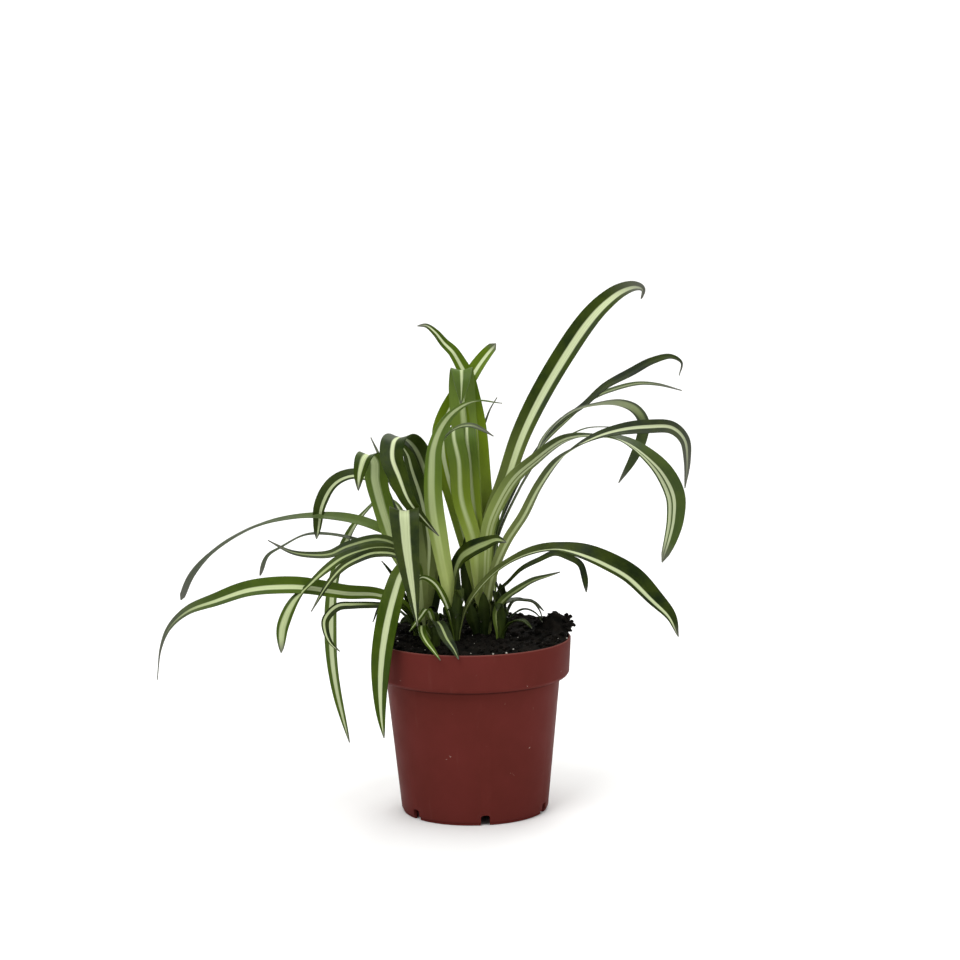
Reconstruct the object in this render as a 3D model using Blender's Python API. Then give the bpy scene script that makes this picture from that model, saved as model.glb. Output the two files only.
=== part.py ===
"""Potted spider plant in a small nursery pot.

Metres, +Z up.  The origin is the middle of the pot's underside, on the surface it stands on.
-Y is the front.  The pot, the soil and each rosette of leaves is one closed solid of its own.
"""
from collections import namedtuple
from math import cos, pi, radians, sin

import bmesh
import bpy
import numpy as np
from mathutils import Vector, noise

MM = 0.001

# ---------------------------------------------------------------- pot, in millimetres
POT_HEIGHT = 80.0
RIM_RADIUS = 45.0
RIM_FOOT_RADIUS = 44.1
RIM_FOOT_HEIGHT = 62.5
BODY_TOP_RADIUS = 39.9
BODY_FOOT_RADIUS = 33.7
FOOT_RADIUS = 33.0
FOOT_BAND = 1.5
WALL = 1.2
LEDGE_TOP = RIM_FOOT_HEIGHT + 1.5
FLOOR_UNDER = 3.0
FLOOR_TOP = 4.2
PAD_RADIUS = 10.0
PAD_SLOPE = 2.0
LIP_DROP = 0.6
RIM_CHAMFER = (1.0, 1.4)
POT_SIDES = 60
SMOOTH_DEGREES = 30.0

NOTCH_ANGLES = [60 * step - 82 for step in range(6)]
NOTCH_WIDTH = 4.2
NOTCH_HEIGHT = 4.8
NOTCH_INNER = 27.0
NOTCH_OUTER = 37.0
NOTCH_BELOW = 1.0

# ---------------------------------------------------------------- soil
SOIL_GAP = 0.3
SOIL_SIDES = 44
SOIL_RINGS = 8
SOIL_EDGE = 1.8
SOIL_LEVEL = 81.0
SOIL_REAR_RISE = 2.2
LUMP_SIZE = 6.0
LUMP_HEIGHT = 0.9
CRUMB_SIZE = 2.4
CRUMB_HEIGHT = 0.63
CRUMB_LAYER = 40.0
SOIL_HEAPS = [
    # x, y, height, radius
    (38.0, 5.0, 8.2, 7.5),
    (-35.0, -4.0, 1.5, 6.0),
    (22.0, 26.0, 1.6, 9.0),
    (-12.0, 28.0, 1.2, 10.0),
]
HOLE_CLEARANCE = 0.5
HOLE_CUTTER_TOP = 100.0

# ---------------------------------------------------------------- leaves
BLADE_THICKNESS = 0.8
BLADE_FOLD = 0.28
TIP_WIDTH = 0.9
ROOT_POWER = 1.5
TAIL_POWER = 0.75
ROUTE_STEPS = 24
SECTION_SPACING = 15.0
BEND_DEGREES = 40.0
FEWEST_SECTIONS = 6
MOST_SECTIONS = 18
NECK_BOTTOM = 70.0
NECK_SHOULDER = 82.8
NECK_TOP = 86.5
NECK_TAPER = 0.62
NECK_SIDES = 12

Leaf = namedtuple("Leaf", "heading roll width root widest route tail", defaults=(TAIL_POWER,))
# heading: the way the leaf arches, in degrees from +X towards +Y
# roll:    turns of the blade about its midrib, at even steps from the root to the tip, in degrees
# width:   greatest width;  root: width at the root as a share of it
# widest:  where along the leaf it is widest, 0 at the root and 1 at the tip
# route:   points along the midrib, in millimetres
# tail:    how early the blade narrows beyond its widest place; higher is earlier

Shoot = namedtuple("Shoot", "centre radius leaves")

SHOOT_LEFT = Shoot((-24, 0), 6.5, [
    # tall leaves that fold over at the top
    Leaf(-115, (0, 0), 11.5, 0.4, 0.72,
         [(-24, 1, 82), (-27, 2, 106), (-34, 2, 119), (-38, 1, 132), (-41, 0, 143),
          (-43, -1, 153), (-43, -3, 161), (-45, -8, 165), (-47, -12, 164), (-49, -14, 158),
          (-50, -15, 150)]),
    Leaf(140, (0, 0), 4.6, 0.5, 0.45,
         [(-22, 3, 82), (-23, 5, 124), (-29, 6, 140), (-34, 7, 147), (-38, 8, 154),
          (-41, 9, 162), (-45, 11, 171)]),
    Leaf(-110, (0, 0), 11.5, 0.4, 0.65,
         [(-23, 2, 82), (-17, 4, 118), (-16.5, 4, 134), (-18.5, 3, 148), (-21, 2, 158),
          (-24, 0, 166), (-27.5, -5, 171), (-31, -11, 173), (-33.5, -17, 171.5),
          (-34, -22, 165), (-31, -26, 157), (-27, -28, 147), (-20, -29, 138),
          (-14, -29, 131)], 0.9),
    Leaf(-110, (0, 0), 8.5, 0.45, 0.6,
         [(-23, 0, 82), (-19, 1, 122), (-22, 0, 143), (-26, -2, 157), (-28, -5, 165),
          (-31, -9, 169), (-34, -12, 165)]),
    # front leaves that hang before the pot
    Leaf(-90, (0, 0), 13.2, 0.32, 0.52,
         [(-22, -3, 82), (-24, -13, 108), (-28, -22, 133), (-29, -28, 142), (-29, -33, 141),
          (-28, -36, 126), (-26, -37, 109), (-24, -37, 92)], 0.9),
    Leaf(-110, (0, 0), 10.5, 0.4, 0.55,
         [(-25, -3, 82), (-25, -10, 104), (-27, -18, 116), (-31, -25, 113), (-35, -30, 102),
          (-38, -33, 90), (-40, -34, 78), (-41, -34, 66), (-41, -34, 52), (-40, -34, 41)]),
    # leaves that arch to the left
    Leaf(180, (-40, -55, -60, -60, -25), 8.0, 0.5, 0.5,
         [(-24, -2, 82), (-31, -7, 96), (-42, -11, 102), (-56, -16, 104), (-78, -25, 109),
          (-98, -31, 109), (-113, -36, 105), (-125, -39, 101), (-133, -41, 94),
          (-137, -42, 85), (-139, -43, 71)], 1.4),
    Leaf(155, (-60, -60, -45, -22, -8, -28, -95), 5.5, 0.5, 0.5,
         [(-24, 1, 82), (-26, 3, 106), (-30, 6, 122), (-37, 9, 127), (-52, 16, 132),
          (-73, 25, 133), (-98, 34, 128), (-112, 39, 121), (-124, 44, 112), (-133, 48, 102),
          (-139, 51, 90)], 0.2),
    Leaf(160, (15, 15, 15, 12, -45, -88, -90), 6.2, 0.5, 0.82,
         [(-24, 2, 82), (-27, 6, 112), (-33, 10, 134), (-42, 14, 149), (-52, 18, 153),
          (-58, 20, 152), (-63, 22, 149), (-67, 24, 144), (-70, 25, 137), (-71, 26, 130),
          (-72, 27, 122)], 0.5),
    Leaf(165, (0, 0, -5, -45, -65, -68, -80), 7.4, 0.4, 0.7,
         [(-25, 3, 82), (-28, 11, 120), (-34, 16, 138), (-41, 19, 141), (-49, 23, 134),
          (-56, 27, 124), (-62, 30, 109), (-65, 31, 96), (-66, 31, 82), (-66, 31, 66),
          (-64, 31, 48), (-59, 31, 24)]),
    Leaf(195, (-50, -50), 5.0, 0.5, 0.45,
         [(-25, -2, 82), (-27, -4, 108), (-32, -7, 122), (-41, -11, 127), (-55, -16, 125),
          (-63, -19, 122), (-71, -21, 122), (-80, -24, 124), (-90, -27, 130)]),
    Leaf(195, (-50, -60, -60, -50, -40, -30, 0, -75, -80), 5.4, 0.45, 0.88,
         [(-25, -3, 82), (-27, -6, 108), (-32, -10, 121), (-42, -15, 124), (-56, -20, 121),
          (-64, -23, 116), (-72, -26, 109), (-79, -29, 102), (-84, -31, 92),
          (-85, -32, 80)], 0.6),
    Leaf(205, (-40, -50, -50, -25), 4.6, 0.5, 0.5,
         [(-25, -3, 82), (-27, -8, 106), (-32, -12, 119), (-43, -18, 122), (-51, -22, 120),
          (-57, -25, 117), (-63, -29, 111), (-71, -35, 99)]),
    Leaf(160, (0, -5, -5, -10, -10, -10, -5, -15, -85), 3.4, 0.55, 0.92,
         [(-24, 3, 82), (-29, 9, 108), (-37, 14, 117), (-53, 22, 122), (-66, 27, 124),
          (-78, 32, 123), (-89, 36, 117), (-96, 39, 112), (-100, 40, 103)], 0.6),
    Leaf(200, (-20, -70), 3.8, 0.55, 0.7,
         [(-25, -4, 82), (-31, -10, 96), (-42, -17, 98), (-53, -22, 99), (-60, -26, 99),
          (-65, -28, 94), (-65, -29, 89), (-63, -30, 84), (-59, -31, 80)]),
    # short leaves near the soil
    Leaf(190, (0, -20), 2.6, 0.7, 0.5,
         [(-26, -2, 82), (-33, -5, 93), (-41, -8, 96), (-45, -9, 89)]),
    Leaf(-150, (0, 0), 3.6, 0.7, 0.5,
         [(-25, -4, 82), (-29, -9, 90), (-34, -12, 96)]),
    Leaf(180, (0, -40), 3.0, 0.7, 0.5,
         [(-25, 1, 82), (-32, 3, 101), (-38, 4, 111), (-41, 4, 115)]),
    # leaves that arch to the back
    Leaf(110, (0, 0), 8.0, 0.5, 0.55,
         [(-24, 4, 82), (-27, 18, 112), (-29, 36, 130), (-30, 54, 130), (-30, 68, 114),
          (-30, 77, 92)]),
    Leaf(100, (0, 0), 6.0, 0.5, 0.5,
         [(-25, 3, 82), (-26, 14, 94), (-28, 26, 98), (-29, 37, 95), (-29, 44, 86)]),
    Leaf(80, (0, 0), 7.5, 0.5, 0.55,
         [(-23, 4, 82), (-23, 18, 124), (-23, 38, 150), (-22, 60, 150), (-21, 80, 128),
          (-20, 88, 100)]),
])

SHOOT_MIDDLE = Shoot((-8, -10), 5.0, [
    Leaf(-70, (0, 0), 8.8, 0.45, 0.45,
         [(-8, -10, 82), (-10, -11, 103), (-13, -12, 122), (-16, -12, 143), (-16, -13, 158),
          (-15, -15, 169), (-11, -17, 179), (-5, -20, 186), (3, -22, 190),
          (15, -23, 189)], 1.05),
    Leaf(-150, (-60, -65), 4.6, 0.6, 0.5,
         [(-8, -11, 82), (-10, -13, 92), (-13, -16, 101), (-17, -18, 108), (-22, -20, 111),
          (-25, -22, 109)]),
    Leaf(-15, (40, 38, 25, 25, 65, 75, 75), 8.6, 0.3, 0.75,
         [(-6, -10, 82), (-3, -11, 94), (3, -13, 104), (13, -16, 114), (25, -20, 121),
          (37, -25, 124), (48, -28, 123), (60, -31, 119), (71, -34, 113), (81, -37, 103),
          (88, -39, 95), (91, -40, 86)]),
    Leaf(-20, (0, 0, 0, 10, 45), 3.8, 0.6, 0.8,
         [(-9, -8, 82), (-11, -8, 105), (-14, -8, 130), (-16, -8, 150), (-15, -9, 163),
          (-11, -10, 172), (-5, -11, 177), (1, -11, 178), (6, -10, 176), (11, -10, 173)]),
    Leaf(-20, (30, 60), 9.5, 0.35, 0.65,
         [(-7, -10, 82), (-8, -9, 100), (-7, -9, 111), (-4, -10, 118), (1, -13, 122),
          (7, -15, 125), (12, -17, 127), (16, -18, 126)]),
])

SHOOT_RIGHT = Shoot((5, 4), 6.5, [
    # the longest leaf, then those that arch to the right
    Leaf(15, (75, 80), 9.8, 0.5, 0.72,
         [(6, 4, 82), (7, 6, 110), (8, 8, 130), (16, 12, 150), (23, 17, 169), (31, 22, 185),
          (42, 27, 203), (55, 33, 221), (63, 36, 229), (71, 39, 235), (78, 41, 237),
          (82, 42, 235), (82, 42, 230)], 0.4),
    Leaf(-15, (-75, -75, -60, -30, 5, 70, 75), 9.0, 0.55, 0.8,
         [(5, 2, 82), (6, 1, 108), (8, -1, 130), (13, -3, 142), (20, -6, 153),
          (29, -9, 161), (43, -14, 171), (56, -18, 173), (68, -21, 171), (78, -24, 165),
          (86, -25, 157), (91, -25, 147), (91, -26, 137), (89, -26, 128),
          (85, -26, 117)], 0.5),
    Leaf(-30, (-45, -40, -28, -8, 35, 75, 40), 6.8, 0.6, 0.7,
         [(6, 0, 82), (9, -3, 106), (16, -8, 124), (24, -13, 137), (31, -19, 151),
          (41, -27, 165), (55, -35, 174), (66, -41, 178), (78, -47, 180), (88, -52, 180),
          (93, -54, 175), (94, -55, 166), (93, -55, 154)]),
    Leaf(10, (0, 0), 2.6, 0.7, 0.5,
         [(5, 5, 82), (12, 8, 125), (24, 11, 156), (35, 13, 165), (44, 15, 169),
          (54, 17, 173), (69, 20, 173)]),
    Leaf(20, (-10, -10, -10, -10, -20, -60, -75), 5.2, 0.4, 0.85,
         [(6, 5, 82), (12, 8, 122), (23, 12, 146), (29, 14, 156), (34, 16, 168),
          (41, 18, 176), (49, 20, 181), (60, 24, 183), (70, 27, 183), (77, 29, 180),
          (81, 31, 174), (80, 31, 166), (76, 30, 157), (69, 28, 146)]),
    Leaf(25, (-20, -20, -20, -15, 5, 35, 60), 5.2, 0.4, 0.75,
         [(6, 6, 82), (12, 11, 124), (21, 16, 145), (31, 22, 162), (42, 27, 174),
          (54, 32, 182), (64, 38, 190), (76, 42, 196), (86, 45, 201), (95, 46, 203),
          (100, 47, 200), (99, 47, 194)]),
    Leaf(30, (-20, -20, 0, 45), 3.6, 0.45, 0.75,
         [(7, 7, 82), (12, 15, 122), (22, 23, 148), (34, 30, 164), (45, 36, 174),
          (58, 43, 184), (69, 47, 188), (80, 51, 190), (90, 55, 189), (101, 57, 186)]),
    # tall stem, its tip folded forward, and the two that run behind it
    Leaf(-90, (0, 0), 12.0, 0.45, 0.8,
         [(5, 4, 82), (3, 6, 118), (0, 9, 145), (-2, 12, 170), (-3, 14, 190), (-3, 13, 199),
          (-3, 10, 201), (-3, 7, 197), (-3.5, 6, 186)], 0.9),
    Leaf(180, (-70, -60), 10.5, 0.5, 0.35,
         [(6, 6, 82), (6, 9, 114), (5, 12, 141), (4, 14, 160), (3, 16, 177), (1, 17, 189),
          (-1, 18, 198), (-4, 19, 204), (-7, 19, 209), (-11, 20, 213), (-15, 20, 218),
          (-19, 21, 221), (-23, 21, 221)], 0.6),
    Leaf(90, (0, 0), 7.7, 0.5, 0.7,
         [(4, 6, 82), (3, 7, 98), (0, 9, 111), (-4, 11, 126), (-8, 12, 142), (-11, 13, 153),
          (-13, 14, 164), (-13, 17, 173), (-10, 20, 181), (-5, 23, 189), (0, 26, 195.5),
          (4.5, 29, 202), (9, 31.5, 207.5), (13, 33, 211.5)], 0.25),
    # a pair side by side before the tall stem, folded to the back
    Leaf(100, (0, 0), 9.5, 0.45, 0.85,
         [(5, 3, 82), (3, 2, 108), (1, 1, 125), (-4, 1, 143), (-5, 1, 161), (-7, 2, 171),
          (-7, 5, 175), (-6, 8, 174), (-6, 9, 166)]),
    Leaf(85, (0, 0), 8.5, 0.45, 0.85,
         [(6, 4, 82), (5, 4, 108), (3, 4, 125), (1, 4, 143), (0, 4, 160), (-1, 4, 170),
          (-1, 7, 175), (-1, 9.5, 174), (-1, 10, 166)]),
    Leaf(0, (50, 50), 2.6, 0.8, 0.4,
         [(6, 9, 82), (8, 14, 120), (6, 19, 150), (5, 19, 168), (8, 18, 178), (10, 17, 183),
          (13, 16, 188)]),
    # leaves that arch to the back, and low ones
    Leaf(90, (0, 0), 8.5, 0.5, 0.55,
         [(5, 7, 82), (4, 22, 130), (3, 44, 160), (1, 68, 160), (0, 88, 134),
          (0, 96, 104)]),
    Leaf(80, (0, 0), 7.5, 0.5, 0.55,
         [(6, 7, 82), (8, 18, 116), (9, 36, 136), (10, 58, 132), (10, 76, 108),
          (11, 84, 80)]),
    Leaf(0, (0, 0), 3.2, 0.7, 0.5,
         [(8, 3, 82), (10, 4, 95), (14, 5, 100), (18, 5, 97)]),
    Leaf(50, (0, 0), 5.0, 0.5, 0.5,
         [(7, 6, 82), (12, 15, 90), (20, 26, 92), (28, 37, 89), (34, 45, 83)]),
    Leaf(95, (0, 0), 6.5, 0.5, 0.5,
         [(3, 8, 82), (1, 20, 93), (-2, 34, 97), (-5, 47, 91), (-7, 55, 80)]),
])

SHOOT_SIDE = Shoot((13, -7), 3.4, [
    Leaf(0, (0, 60), 3.4, 0.6, 0.9,
         [(12, -7, 82), (10, -6, 92), (12, -6, 101), (17, -6, 106), (23, -7, 112),
          (31, -7, 116), (38, -8, 119), (44, -8, 117), (49, -8, 114), (51, -8, 108),
          (52, -8, 101)]),
    Leaf(-20, (-40, -40), 4.2, 0.6, 0.5,
         [(12, -8, 82), (11, -9, 92), (14, -11, 98), (20, -13, 103), (28, -15, 108),
          (34, -16, 110), (40, -17, 112)]),
    Leaf(20, (0, 0), 2.6, 0.7, 0.5,
         [(14, -6, 82), (16, -4, 91), (19, -2, 96), (24, 0, 96), (28, 0, 95), (31, 0, 91),
          (32, 0, 88)]),
    Leaf(0, (0, 0), 2.6, 0.7, 0.5,
         [(14, -7, 82), (18, -6, 90), (24, -5, 93), (29, -5, 91), (32, -5, 87)]),
    Leaf(-30, (0, 0), 4.2, 0.6, 0.55,
         [(14, -8, 82), (18, -11, 88), (23, -13, 89), (27, -15, 86)]),
])

SHOOT_FRONT = Shoot((-17, -21), 3.2, [
    Leaf(-110, (0, 0), 3.2, 0.8, 0.5,
         [(-17, -21, 82), (-18, -22, 92), (-20, -24, 97), (-23, -27, 94), (-28, -29, 88)]),
    Leaf(-90, (0, 0), 3.4, 0.7, 0.5,
         [(-18, -21, 82), (-22, -26, 90), (-22, -32, 88), (-20, -38, 85), (-17, -43, 82),
          (-14, -46.5, 78.5)]),
    Leaf(-90, (0, 0), 5.4, 0.55, 0.55,
         [(-16, -21, 82), (-16, -24, 91), (-14, -31, 91), (-11, -38, 86), (-8, -44, 82.5),
          (-6, -47.5, 79)]),
])

SHOOTS = {
    "shoot_left": SHOOT_LEFT,
    "shoot_middle": SHOOT_MIDDLE,
    "shoot_right": SHOOT_RIGHT,
    "shoot_side": SHOOT_SIDE,
    "shoot_front": SHOOT_FRONT,
}

# ---------------------------------------------------------------- colours (linear), roughness
POT_COLOUR = (0.110, 0.024, 0.020, 1.0)
POT_ROUGHNESS = 0.45
SOIL_COLOUR = (0.006, 0.005, 0.004, 1.0)
SOIL_ROUGHNESS = 0.95
LEAF_COLOUR = (0.075, 0.140, 0.014, 1.0)
LEAF_ROUGHNESS = 0.4


def clear_scene():
    """Remove every object that is in the file."""
    for thing in list(bpy.data.objects):
        bpy.data.objects.remove(thing, do_unlink=True)


def make_material(name, colour, roughness):
    """A plain Principled material."""
    material = bpy.data.materials.new(name)
    material.use_nodes = True
    shader = material.node_tree.nodes["Principled BSDF"]
    shader.inputs["Base Color"].default_value = colour
    shader.inputs["Roughness"].default_value = roughness
    shader.inputs["Metallic"].default_value = 0.0
    return material


def add_object(name, bm, material=None):
    """Turn a bmesh in millimetres into an object in metres."""
    bmesh.ops.scale(bm, vec=(MM, MM, MM), verts=bm.verts)
    mesh = bpy.data.meshes.new(name)
    bm.to_mesh(mesh)
    bm.free()
    thing = bpy.data.objects.new(name, mesh)
    bpy.context.scene.collection.objects.link(thing)
    if material:
        mesh.materials.append(material)
    return thing


def turn_profile(profile, sides):
    """Turn a closed (radius, height) profile, whose two ends lie on the axis, into a solid."""
    bm = bmesh.new()
    rings = []
    for radius, height in profile:
        if radius == 0:
            rings.append([bm.verts.new((0, 0, height))])
            continue
        ring = []
        for side in range(sides):
            angle = 2 * pi * side / sides
            ring.append(bm.verts.new((radius * cos(angle), radius * sin(angle), height)))
        rings.append(ring)
    for lower, upper in zip(rings, rings[1:]):
        for side in range(sides):
            after = (side + 1) % sides
            corners = [lower[side % len(lower)], lower[after % len(lower)],
                       upper[after % len(upper)], upper[side % len(upper)]]
            bm.faces.new(list(dict.fromkeys(corners)))
    bmesh.ops.recalc_face_normals(bm, faces=bm.faces)
    return bm


def apply_boolean(target, operation, **operand):
    """Apply one Boolean to the target object."""
    modifier = target.modifiers.new("cut", "BOOLEAN")
    modifier.operation = operation
    modifier.solver = "EXACT"
    for key, value in operand.items():
        setattr(modifier, key, value)
    bake_modifiers(target)


def bake_modifiers(target):
    """Replace the object's mesh by the mesh its modifiers give."""
    graph = bpy.context.evaluated_depsgraph_get()
    result = bpy.data.meshes.new_from_object(target.evaluated_get(graph))
    target.modifiers.clear()
    target.data = result


def keep_outer_body(target):
    """Keep the largest closed body: sealed hollows are filled and loose scraps dropped."""
    bm = bmesh.new()
    bm.from_mesh(target.data)
    waiting = set(bm.faces)
    islands = []
    while waiting:
        front = [waiting.pop()]
        island = list(front)
        while front:
            face = front.pop()
            for edge in face.edges:
                for other in edge.link_faces:
                    if other in waiting:
                        waiting.remove(other)
                        front.append(other)
                        island.append(other)
        islands.append(island)
    islands.sort(key=lambda faces: sum(face.calc_area() for face in faces))
    for island in islands[:-1]:
        bmesh.ops.delete(bm, geom=island, context="FACES")
    bm.to_mesh(target.data)
    bm.free()


# ---------------------------------------------------------------- pot

def rim_inner_radius(height):
    """Radius of the rim band's inner wall at a height."""
    share = (height - RIM_FOOT_HEIGHT) / (POT_HEIGHT - RIM_FOOT_HEIGHT)
    return RIM_FOOT_RADIUS + (RIM_RADIUS - RIM_FOOT_RADIUS) * share - WALL


def body_inner_radius(height):
    """Radius of the pot body's inner wall at a height."""
    share = (height - FOOT_BAND) / (RIM_FOOT_HEIGHT - FOOT_BAND)
    return BODY_FOOT_RADIUS + (BODY_TOP_RADIUS - BODY_FOOT_RADIUS) * share - WALL


def make_pot(material):
    """Thin-walled pot: stepped rim, raised floor with a centre pad, and six drain notches."""
    profile = [
        (0, 0),
        (PAD_RADIUS, 0),
        (PAD_RADIUS + PAD_SLOPE, FLOOR_UNDER),
        (FOOT_RADIUS - WALL, FLOOR_UNDER),
        (FOOT_RADIUS - WALL, 0),
        (FOOT_RADIUS, 0),
        (FOOT_RADIUS, FOOT_BAND),
        (BODY_FOOT_RADIUS, FOOT_BAND),
        (BODY_TOP_RADIUS, RIM_FOOT_HEIGHT),
        (RIM_FOOT_RADIUS - RIM_CHAMFER[0], RIM_FOOT_HEIGHT),
        (RIM_FOOT_RADIUS, RIM_FOOT_HEIGHT + RIM_CHAMFER[1]),
        (RIM_RADIUS, POT_HEIGHT - LIP_DROP),
        (RIM_RADIUS - WALL / 2, POT_HEIGHT),
        (RIM_RADIUS - WALL, POT_HEIGHT - LIP_DROP),
        (rim_inner_radius(LEDGE_TOP), LEDGE_TOP),
        (body_inner_radius(LEDGE_TOP), LEDGE_TOP),
        (body_inner_radius(FLOOR_TOP), FLOOR_TOP),
        (PAD_RADIUS + PAD_SLOPE - WALL / 2, FLOOR_TOP),
        (PAD_RADIUS - WALL / 2, WALL),
        (0, WALL),
    ]
    pot = add_object("pot", turn_profile(profile, POT_SIDES), material)
    notches = bmesh.new()
    for angle in NOTCH_ANGLES:
        add_notch_box(notches, radians(angle))
    cutter = add_object("notch_cutter", notches)
    apply_boolean(pot, "DIFFERENCE", object=cutter)
    bpy.data.objects.remove(cutter, do_unlink=True)
    pot.data.shade_smooth()
    pot.data.set_sharp_from_angle(angle=radians(SMOOTH_DEGREES))
    return pot


def add_notch_box(bm, angle):
    """Add the box that cuts one notch through the foot and the edge of the floor."""
    reach = (NOTCH_INNER + NOTCH_OUTER) / 2
    length = NOTCH_OUTER - NOTCH_INNER
    height = NOTCH_HEIGHT + NOTCH_BELOW
    box = bmesh.ops.create_cube(bm, size=1)["verts"]
    bmesh.ops.scale(bm, vec=(length, NOTCH_WIDTH, height), verts=box)
    bmesh.ops.translate(bm, vec=(reach, 0, NOTCH_HEIGHT - height / 2), verts=box)
    turn = np.array([[cos(angle), -sin(angle)], [sin(angle), cos(angle)]])
    for vert in box:
        vert.co.x, vert.co.y = turn @ np.array(vert.co[:2])


# ---------------------------------------------------------------- soil

def soil_top(x, y):
    """Height of the soil's rough top."""
    edge = RIM_RADIUS - WALL
    height = SOIL_LEVEL + SOIL_REAR_RISE * y / edge
    for heap_x, heap_y, rise, spread in SOIL_HEAPS:
        away = ((x - heap_x) ** 2 + (y - heap_y) ** 2) / spread ** 2
        height += rise * np.exp(-away)
    lumps = noise.noise(Vector((x, y, 0)) / LUMP_SIZE)
    crumbs = noise.noise(Vector((x, y, CRUMB_LAYER)) / CRUMB_SIZE)
    return height + LUMP_HEIGHT * lumps + CRUMB_HEIGHT * crumbs


def make_soil(material):
    """Soil that fills the pot, with a rough heaped top and a plain hole for each shoot."""
    edge = RIM_RADIUS - WALL - SOIL_GAP
    profile = [
        (0, FLOOR_TOP + SOIL_GAP),
        (body_inner_radius(FLOOR_TOP) - SOIL_GAP, FLOOR_TOP + SOIL_GAP),
        (body_inner_radius(LEDGE_TOP) - SOIL_GAP, LEDGE_TOP + SOIL_GAP),
        (rim_inner_radius(LEDGE_TOP) - SOIL_GAP, LEDGE_TOP + SOIL_GAP),
        (edge, POT_HEIGHT - 2 * LIP_DROP),
    ]
    for ring in range(SOIL_RINGS, -1, -1):
        profile.append(((edge - SOIL_EDGE) * ring / SOIL_RINGS, POT_HEIGHT))
    bm = turn_profile(profile, SOIL_SIDES)
    for vert in bm.verts:
        if vert.co.z > POT_HEIGHT - LIP_DROP:
            vert.co.z = soil_top(vert.co.x, vert.co.y)
    bmesh.ops.triangulate(bm, faces=bm.faces)
    bmesh.ops.recalc_face_normals(bm, faces=bm.faces)
    soil = add_object("soil", bm, material)
    holes = bmesh.new()
    for shoot in SHOOTS.values():
        add_post(holes, shoot.centre, shoot.radius + HOLE_CLEARANCE, NECK_BOTTOM - SOIL_GAP,
                 HOLE_CUTTER_TOP)
    cutter = add_object("hole_cutter", holes)
    apply_boolean(soil, "DIFFERENCE", object=cutter)
    bpy.data.objects.remove(cutter, do_unlink=True)
    return soil


def add_post(bm, centre, radius, bottom, top):
    """Add an upright round post."""
    post = bmesh.ops.create_cone(bm, cap_ends=True, segments=NECK_SIDES, radius1=radius,
                                 radius2=radius, depth=top - bottom)["verts"]
    bmesh.ops.translate(bm, vec=(centre[0], centre[1], (top + bottom) / 2), verts=post)


# ---------------------------------------------------------------- leaves

def smooth_route(points):
    """A smooth curve through the points (centripetal Catmull-Rom)."""
    points = np.array(points, float)
    first = 2 * points[0] - points[1]
    last = 2 * points[-1] - points[-2]
    points = np.vstack([first, points, last])
    curve = []
    for p0, p1, p2, p3 in zip(points, points[1:], points[2:], points[3:]):
        t1 = np.linalg.norm(p1 - p0) ** 0.5
        t2 = t1 + np.linalg.norm(p2 - p1) ** 0.5
        t3 = t2 + np.linalg.norm(p3 - p2) ** 0.5
        for t in np.linspace(t1, t2, ROUTE_STEPS, endpoint=False):
            a1 = p0 * (t1 - t) / t1 + p1 * t / t1
            a2 = p1 * (t2 - t) / (t2 - t1) + p2 * (t - t1) / (t2 - t1)
            a3 = p2 * (t3 - t) / (t3 - t2) + p3 * (t - t2) / (t3 - t2)
            b1 = a1 * (t2 - t) / t2 + a2 * t / t2
            b2 = a2 * (t3 - t) / (t3 - t1) + a3 * (t - t1) / (t3 - t1)
            curve.append(b1 * (t2 - t) / (t2 - t1) + b2 * (t - t1) / (t2 - t1))
    curve.append(points[-2])
    return np.array(curve)


def unit(vector):
    """The vector at length one."""
    return vector / np.linalg.norm(vector)


def midrib_sections(leaf):
    """Places along the midrib, closer where it bends or twists: point, direction, share."""
    curve = smooth_route(leaf.route)
    steps = np.diff(curve, axis=0)
    lengths = np.linalg.norm(steps, axis=1)
    ways = steps / lengths[:, None]
    bends = np.arccos(np.clip((ways[1:] * ways[:-1]).sum(axis=1), -1, 1))
    effort = lengths / SECTION_SPACING
    effort[1:] += bends / radians(BEND_DEGREES)
    reach = np.concatenate([[0], np.cumsum(lengths)])
    rolls = np.interp(reach / reach[-1], np.linspace(0, 1, len(leaf.roll)), leaf.roll)
    effort += np.abs(np.diff(rolls)) / BEND_DEGREES
    spent = np.concatenate([[0], np.cumsum(effort)])
    count = int(np.clip(round(spent[-1]), FEWEST_SECTIONS, MOST_SECTIONS))
    wanted = np.linspace(0, spent[-1], count + 1)
    centres = np.array([np.interp(wanted, spent, curve[:, axis]) for axis in range(3)]).T
    shares = np.interp(wanted, spent, reach) / reach[-1]
    places = reach[1:] - lengths / 2
    sections = []
    for centre, share in zip(centres, shares):
        at = share * reach[-1]
        way = np.array([np.interp(at, places, ways[:, axis]) for axis in range(3)])
        sections.append((centre, unit(way), share))
    return sections


def blade_width(leaf, share):
    """Width of the blade at a share of its length."""
    if share < leaf.widest:
        rise = sin(pi / 2 * share / leaf.widest) ** ROOT_POWER
        return leaf.width * (leaf.root + (1 - leaf.root) * rise)
    fall = (share - leaf.widest) / (1 - leaf.widest)
    return max(TIP_WIDTH, leaf.width * cos(pi / 2 * fall) ** leaf.tail)


def blade_frame(leaf, way, share):
    """The blade's sideways direction and its upper face's direction."""
    heading = radians(leaf.heading)
    level = np.array([sin(heading), -cos(heading), 0])
    across = unit(level - way * level.dot(way))
    upward = np.cross(across, way)
    roll = radians(np.interp(share, np.linspace(0, 1, len(leaf.roll)), leaf.roll))
    return across * cos(roll) - upward * sin(roll), upward * cos(roll) + across * sin(roll)


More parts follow.
